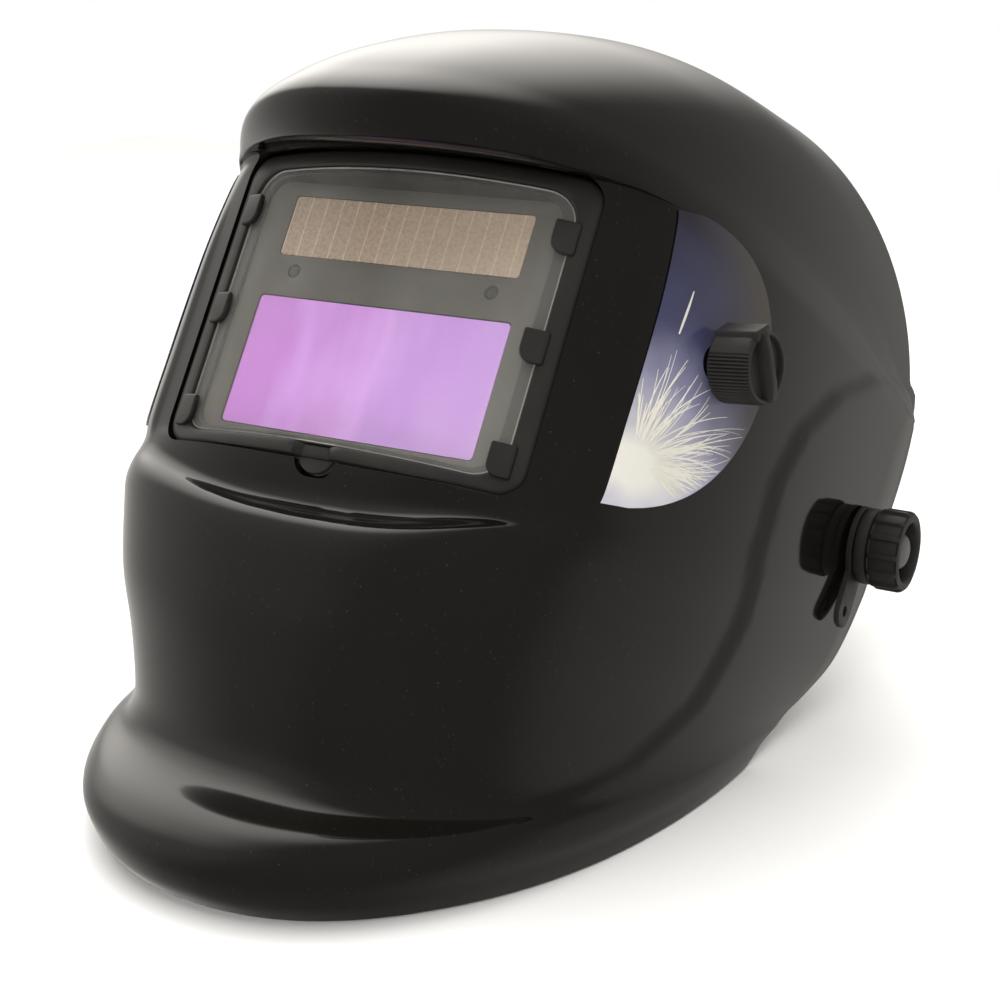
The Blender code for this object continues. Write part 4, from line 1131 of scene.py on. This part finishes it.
def make_pivot(side, tag):
    turn = axis_matrix((side * SIDE_X, PIVOT_Y, PIVOT_Z), (side, 0, 0))
    leaning = turn @ Matrix.Rotation(side * PLATE_TURN, 4, "Z")
    stations = []
    for k in range(41):
        up = 13.4 * math.cos(math.radians(6 + 174 * k / 40))
        half = math.sqrt(max(13.4**2 - up**2, 0.0))
        if up < -6.0:
            half = max(half, 6.2 + 5.0 * float(smooth((up + 9.5) / 3.5)))
        stations.append((up, max(half, 1.5)))
    stations = [s for s in stations if s[0] > -13.2]
    for k in range(22):
        share = k / 21
        tip = max(share - 0.66, 0.0) / 0.36
        stations.append((-14.0 - 16.4 * share, 6.2 * math.sqrt(max(1 - tip**2, 0.04))))
    loops = []
    for up, half in stations:
        loops.append([(-half, up, 0.6), (half, up, 0.6), (half, up, 2.5), (-half, up, 2.5)])
    verts, faces = rings(loops)
    plate = make("limiter_" + tag, placed(verts, leaning), faces)
    for radius, centre in ((4.0, (0, 0)), (2.0, (0, -25.0))):
        cut(plate, disc(radius, 40, centre), -3.0, 8.0, leaning)
    soften(plate, 0.35, 3, 40.0)
    dress(plate, "shell", "knob_black", KNOB, "limiter_plate_" + tag)

    ring = [(4.0, 2.9), (12.7, 2.9), (13.1, 3.3), (13.2, 3.8), (13.2, 6.4), (12.9, 6.9),
            (12.3, 7.2), (4.0, 7.2)]
    piece = spun("pivot_collar_" + tag, ring, 96, turn, hollow=True)
    dress(piece, "headgear", "knob_black", KNOB, "collar_" + tag)

    knob = [(4.0, 7.5), (12.6, 7.5), (13.3, 7.8), (13.9, 8.4), (14.2, 9.2), (14.2, 12.0),
            (14.2, 16.4), (13.9, 17.5), (13.2, 18.3), (12.2, 18.65), (11.2, 18.65), (10.6, 18.4),
            (10.2, 17.8), (10.0, 17.0), (9.6, 12.4), (4.0, 12.4)]

    def fluted(row, angle, radius):
        if not 3 <= row <= 7:
            return radius
        phase = (13 * angle / (2 * math.pi)) % 1.0
        panel = float(smooth((0.5 - abs(phase - 0.5) - 0.10) / 0.07))
        return radius - 1.05 * panel

    piece = spun("grip_knob_" + tag, knob, 13 * 24, turn, hollow=True, change=fluted, sharp=35.0)
    dress(piece, "tension_knob_" + tag, "knob_black", KNOB, "tension_knob_" + tag)

    dome = [(6.4, 12.7), (6.6, 13.2), (6.6, 14.6), (6.4, 15.5), (5.9, 16.3), (5.2, 17.0),
            (4.3, 17.5), (3.3, 17.85), (2.2, 18.08), (1.1, 18.18), (0.3, 18.2)]
    piece = spun("grip_dome_" + tag, dome, 72, turn)
    dress(piece, "tension_knob_" + tag, "pivot_metal", DOME, "dome_nut_" + tag)

    bolt = [(7.4, -14.5), (8.0, -14.3), (8.2, -13.9), (8.2, -12.8), (7.6, -12.2), (3.3, -12.2),
            (3.3, 12.3)]
    made = spun("pivot_pin_" + tag, bolt, 72, turn)
    cut(made, disc(3.0, 6), -20.0, -13.2, turn)
    shade(made)
    dress(made, "headgear", "pivot_metal", STEEL, "pivot_bolt_" + tag)

    washer = [(3.8, -9.0), (10.6, -9.0), (11.0, -8.6), (11.0, -4.7), (10.6, -4.3), (3.8, -4.3)]
    piece = spun("pivot_washer_" + tag, washer, 72, turn, hollow=True)
    dress(piece, "headgear", "knob_black", RUBBER, "friction_washer_" + tag)


# ---------------------------------------------------------------- headgear

def head_ring(angle, out=0.0):
    """Point of the head ellipse; angle 0 at the front, positive to the left."""
    x = (HEAD_HALF_X + out) * math.sin(angle)
    y = HEAD_Y - (HEAD_HALF_Y + out) * math.cos(angle)
    return Vector((x, y, HEAD_Z - HEAD_SLOPE * (y - HEAD_Y)))


def ring_axes(angle):
    """Outward and upward directions of a band on the head ellipse."""
    outward = Vector((HEAD_HALF_Y * math.sin(angle), -HEAD_HALF_X * math.cos(angle), 0))
    upward = Vector((0, HEAD_SLOPE * 0.2, 1))
    return outward.normalized(), upward.normalized()


def strap(name, path, outward, upward, width, thickness, taper=0.0):
    """Flat strap with rounded edges and, where asked, a rounded free end."""
    loops = []
    count = len(path)
    for k, (p, o, w) in enumerate(zip(path, outward, upward)):
        half = width / 2
        left = (count - 1 - k) * (path[1] - path[0]).length
        if taper and left < taper:
            half *= math.sqrt(max(1 - (1 - left / taper) ** 2, 0.02))
        edge = min(0.4, half * 0.4)
        loops.append([
            p - w * half + o * edge, p - w * (half - edge),
            p + w * (half - edge), p + w * half + o * edge,
            p + w * half + o * (thickness - edge), p + w * (half - edge) + o * thickness,
            p - w * (half - edge) + o * thickness, p - w * half + o * (thickness - edge),
        ])
    verts, faces = rings(loops)
    return make(name, verts, faces, matrix=GEAR)


def ring_strap(name, start, end, steps, out, width, thickness, taper=0.0):
    path, outward, upward = [], [], []
    for k in range(steps + 1):
        angle = math.radians(start + (end - start) * k / steps)
        path.append(head_ring(angle, out))
        o, w = ring_axes(angle)
        outward.append(o)
        upward.append(w)
    return strap(name, path, outward, upward, width, thickness, taper)


def punch(made, place, outline):
    """Cuts one hole through a strap, along place's local Z."""
    cut(made, outline, -6.0, 6.0, place, GEAR)


def make_headgear():
    band = ring_strap("brow_band", -112, 112, 120, 0.0, STRAP_HEIGHT, 1.6)
    for angle in (-74, -66, 66, 74):
        o, w = ring_axes(math.radians(angle))
        turn = axis_matrix(head_ring(math.radians(angle)), o, w)
        punch(band, turn, rounded_box(4.0, 12.0, 1.9, 5))
    shade(band)
    dress(band, "headgear", "headgear_black", GEAR_PLASTIC, "headband")
    for side, tag, out in ((1, "left", 1.9), (-1, "right", 3.6)):
        tail = ring_strap("rear_band_" + tag, side * 78, side * 172, 80, out, 15.0, 1.4, 5.0)
        for k in range(9):
            angle = math.radians(side * (112 + 4.6 * k))
            o, w = ring_axes(angle)
            punch(tail, axis_matrix(head_ring(angle, out), o, w), rounded_box(2.4, 6.0, 1.1, 4))
        shade(tail)
        dress(tail, "headgear", "headgear_black", GEAR_PLASTIC, "rear_strap_" + tag)
    make_pad("brow_pad", -62, 62, 96, -4.9, 30.0, 4.6, "sweatband")
    make_pad("nape_pad", 157, 203, 48, -7.6, 24.0, 5.2, "rear_cushion")
    for side, tag in ((1, "left"), (-1, "right")):
        make_side_arm(side, tag)
    make_crown()
    make_ratchet()


def make_pad(name, start, end, steps, out, width, thickness, node):
    """Foam band in a cloth sleeve: crowned face, rolled edges and a stitched border."""
    def turn_at(step):
        return math.radians(start + (end - start) * step / steps)

    loops = []
    around = 28
    length = 0.0
    path = [head_ring(turn_at(k), out) for k in range(steps + 1)]
    for k, p in enumerate(path):
        o, w = ring_axes(turn_at(k))
        length += (p - path[k - 1]).length if k else 0.0
        near_end = min(k, steps - k) / steps
        close = float(smooth(near_end / 0.035))
        full = 0.35 + 0.65 * close
        puff = 1.0 + 0.05 * math.sin(length * 0.29) * close
        loop = []
        for s in range(around):
            turn = 2 * math.pi * s / around
            c, n = math.cos(turn), math.sin(turn)
            across = math.copysign(abs(c) ** 0.55, c) * width / 2 * (0.93 + 0.07 * close)
            level = math.copysign(abs(n) ** 0.8, n) * thickness / 2 * full
            crown = 1.0 - 0.35 * (abs(across) / (width / 2)) ** 3
            swell = level * crown * (puff if n < 0 else 1.0)
            loop.append(p + w * across + o * (thickness / 2 + swell))
        loops.append(loop)
    verts, faces = rings(loops)
    half_run = 0.5 * (start + end)

    def cloth_uv(point):
        angle = math.atan2(point[0] / HEAD_HALF_X, -(point[1] - HEAD_Y) / HEAD_HALF_Y)
        return (math.degrees(angle) - half_run) * 0.02, point[2] * 0.01

    piece = make(name, verts, faces, matrix=GEAR, uv=cloth_uv, sharp=60.0)
    dress(piece, "headgear", "sweatband_foam", CLOTH, node)

    verts, faces = [], []
    for level in (-1, 1):
        for k in range(2, steps - 2, 2):
            ends = []
            for angle in (turn_at(k + 0.25), turn_at(k + 1.55)):
                o, w = ring_axes(angle)
                ends.append(head_ring(angle, out) + w * level * (width / 2 - 3.2) + o * 0.15)
            stitch = [ends[0], (ends[0] + ends[1]) / 2, ends[1]]
            more, sides = tube(curve_through(stitch, 3), 0.28, 6)
            shift = len(verts)
            verts += more
            faces += [tuple(i + shift for i in face) for face in sides]
    seam = make(name + "_stitches", verts, faces, matrix=GEAR)
    dress(seam, "headgear", "sweatband_foam", THREAD)


def make_side_arm(side, tag):
    face = SIDE_X - 12.0
    keys = np.array([
        (0.0, -12.3, 3.0, face), (0.0, -9.0, 9.0, face), (0.0, 0.0, 12.3, face),
        (0.0, 9.0, 11.6, face), (0.0, 16.0, 10.5, face), (-1.0, 24.0, 10.0, face - 4.0),
        (-2.0, 31.0, 10.0, face - 12.5), (-3.0, 36.0, 10.0, HEAD_HALF_X + 6.6),
        (-4.0, 43.0, 10.0, HEAD_HALF_X + 5.4), (-4.0, 56.0, 9.0, HEAD_HALF_X + 5.4),
        (-4.0, 61.0, 5.0, HEAD_HALF_X + 5.4),
    ])
    thick, slope, edge = 2.4, 0.25, 1.2
    loops = []
    for y, z, half, x in monotone(keys[:, 1], keys, np.linspace(-12.3, 61.0, 70)):
        top = side * (x + thick)
        shoulder = side * (x + thick - slope)
        loops.append([(side * x, y - half, z), (side * x, y + half, z),
                      (shoulder, y + half, z), (top, y + half - edge, z),
                      (top, y - half + edge, z), (shoulder, y - half, z)])
    arm = make("arm_" + tag, *rings(loops), matrix=GEAR)
    turn = axis_matrix((side * (face - 5), 0, 0), (side, 0, 0))
    cut(arm, disc(3.8, 40), -5.0, 20.0, turn, GEAR)
    shade(arm, 35.0)
    dress(arm, "headgear", "headgear_black", GEAR_PLASTIC, "side_arm_" + tag)


def make_crown():
    """Two straps with sizing holes that overlap over the head, and their pin."""
    base = HEAD_Z + 6.0
    rise = 88.0
    for side, tag, lift in ((1, "left", 0.0), (-1, "right", 2.1)):
        path, outward, upward = [], [], []
        steps = 90

        def spot(angle):
            point = Vector((side * (HEAD_HALF_X - 1.9) * math.sin(angle), -4.0,
                            base + (rise + lift) * math.cos(angle)))
            away = Vector((side * rise * math.sin(angle), 0, HEAD_HALF_X * math.cos(angle)))
            return point, away.normalized()

        for k in range(steps + 1):
            point, away = spot(math.radians(90 - 106 * k / steps))
            path.append(point)
            outward.append(away)
            upward.append(Vector((0, 1, 0)))
        made = strap("crown_band_" + tag, path, outward, upward, 17.0, 1.5, 8.0)
        for degrees in (8, 15, 22, 29, 36):
            point, away = spot(math.radians(degrees))
            punch(made, axis_matrix(point, away, (0, 1, 0)), disc(1.9, 24))
        shade(made)
        dress(made, "headgear", "headgear_black", GEAR_PLASTIC, "crown_strap_" + tag)
    turn = axis_matrix((0, -4.0, base + rise), (0, 0, 1), (0, 1, 0))
    button = [(5.2, 4.3), (5.5, 4.6), (5.5, 5.0), (5.0, 5.5), (3.8, 5.9), (0.4, 6.05)]
    piece = spun("crown_button", button, 48, turn, matrix=GEAR)
    dress(piece, "headgear", "headgear_black", GEAR_PLASTIC, "crown_strap_pin")


def make_ratchet():
    turn = axis_matrix(head_ring(math.pi), (0, 1, 0))
    housing = from_cad("ratchet_housing", "ratchet_case", 1.4, 4)
    dress(housing, "headgear", "headgear_black", GEAR_PLASTIC, "ratchet_housing")
    knob = [(3.0, 8.9), (3.0, 11.3), (15.2, 11.3), (16.6, 11.8), (17.3, 12.6), (17.5, 13.6),
            (17.5, 22.0), (17.2, 23.3), (16.4, 24.3), (15.0, 24.9), (13.0, 25.1), (11.6, 24.8),
            (10.9, 24.2), (9.8, 23.9), (0.4, 23.9)]

    def fluted(row, angle, radius):
        if not 4 <= row <= 8:
            return radius
        return radius - 1.3 * max(0.0, math.cos(12 * angle)) ** 2

    piece = spun("ratchet_dial", knob, 288, turn, change=fluted, matrix=GEAR, sharp=35.0)
    dress(piece, "ratchet_knob", "headgear_black", GEAR_PLASTIC, "ratchet_knob")


# --------------------------------------------------------------------- scene

# Soft sources round the object: direction, where each starts and is full, strength.
SKY = (
    ((-0.55, 0.55, 0.62), 0.70, 0.99, 2.0),
    ((-1.0, 0.15, 0.15), 0.15, 1.00, 0.60),
    ((0.75, 0.55, -0.35), 0.35, 1.0, 0.28),
)
SKY_BASE = 0.22


def make_stage():
    edge = 1500.0
    floor = make("floor", [(-edge, -edge, -0.6), (edge, -edge, -0.6), (edge, edge, -0.6),
                           (-edge, edge, -0.6)], [(0, 1, 2, 3)], matrix=Matrix.Identity(4))
    paper = Nodes("floor_paper")
    grain = paper.noise(3.0, 4.0)
    tone = paper.ramp(grain, (0.3, (0.86, 0.86, 0.86)), (0.7, (0.89, 0.89, 0.89)))
    paper.link(tone, paper.shader.inputs["Base Color"])
    paper.set(Roughness=0.9)
    floor.data.materials.append(paper.material)
    floor.visible_glossy = False


def area_light(name, place, target, size, power):
    """Soft rectangular lamp that lights the object without showing in its gloss."""
    lamp = bpy.data.lights.new(name, "AREA")
    lamp.shape = "RECTANGLE"
    lamp.size, lamp.size_y = size
    lamp.energy = power
    lamp.color = (1.0, 0.985, 0.96)
    holder = bpy.data.objects.new(name, lamp)
    holder.location = place
    aim = Vector(target) - Vector(place)
    holder.rotation_euler = aim.to_track_quat("-Z", "Y").to_euler()
    holder.visible_glossy = False
    bpy.context.scene.collection.objects.link(holder)


def sky_blob(sky, direction, towards, start, stop, strength):
    """Soft round source of light in the surroundings, as a number by direction."""
    near = sky.add("ShaderNodeVectorMath", operation="DOT_PRODUCT")
    sky.link(direction, near.inputs[0])
    near.inputs[1].default_value = Vector(towards).normalized()
    span = sky.add("ShaderNodeMapRange", interpolation_type="SMOOTHERSTEP")
    for key, number in (("From Min", start), ("From Max", stop),
                        ("To Min", 0.0), ("To Max", strength)):
        span.inputs[key].default_value = number
    sky.link(near.outputs["Value"], span.inputs["Value"])
    return span.outputs["Result"]


class Sky(Nodes):
    """The same short names for the world's node tree."""

    def __init__(self, world):
        world.use_nodes = True
        self.tree = world.node_tree
        self.shader = self.tree.nodes["Background"]


def make_lights():
    """White surround for the camera; soft studio sources, brightest behind the crown."""
    world = bpy.data.worlds.new("studio")
    bpy.context.scene.world = world
    sky = Sky(world)
    direction = sky.add("ShaderNodeTexCoord").outputs["Generated"]
    total = None
    for towards, start, stop, strength in SKY:
        blob = sky_blob(sky, direction, towards, start, stop, strength)
        total = blob if total is None else sky.math("ADD", total, blob)
    total = sky.math("ADD", total, SKY_BASE)
    seen = sky.add("ShaderNodeLightPath").outputs["Is Camera Ray"]
    warm = sky.add("ShaderNodeVectorMath", operation="SCALE")
    warm.inputs[0].default_value = (1.0, 0.965, 0.915)
    sky.link(total, warm.inputs["Scale"])
    sky.link(sky.mix(seen, warm.outputs["Vector"], (1.0, 1.0, 1.0)), sky.shader.inputs["Color"])
    area_light("overhead", (0.0, 0.0, 2.2), (0, 0, 0), (2.6, 2.6), 62.0)
    area_light("front_fill", (0.5, -1.9, 1.1), (0, 0, 0.13), (1.6, 1.2), 24.0)


def make_camera():
    lens = bpy.data.cameras.new("camera")
    lens.lens = 63.0
    lens.sensor_width = 36.0
    lens.clip_end = 50.0
    camera = bpy.data.objects.new("camera", lens)
    camera.location = (0.301, STAND_Y * MM - 0.426, RIM_DROP * MM + 0.1215)
    camera.rotation_euler = (math.radians(90 - 17.3), 0, math.radians(30.6))
    bpy.context.scene.collection.objects.link(camera)
    bpy.context.scene.camera = camera


bpy.context.scene.view_settings.view_transform = "Standard"
make_camera()
make_shell()
make_frame()
make_optics()
make_shade_control()
make_decals()
make_pivot(1, "left")
make_pivot(-1, "right")
make_headgear()
make_stage()
make_lights()
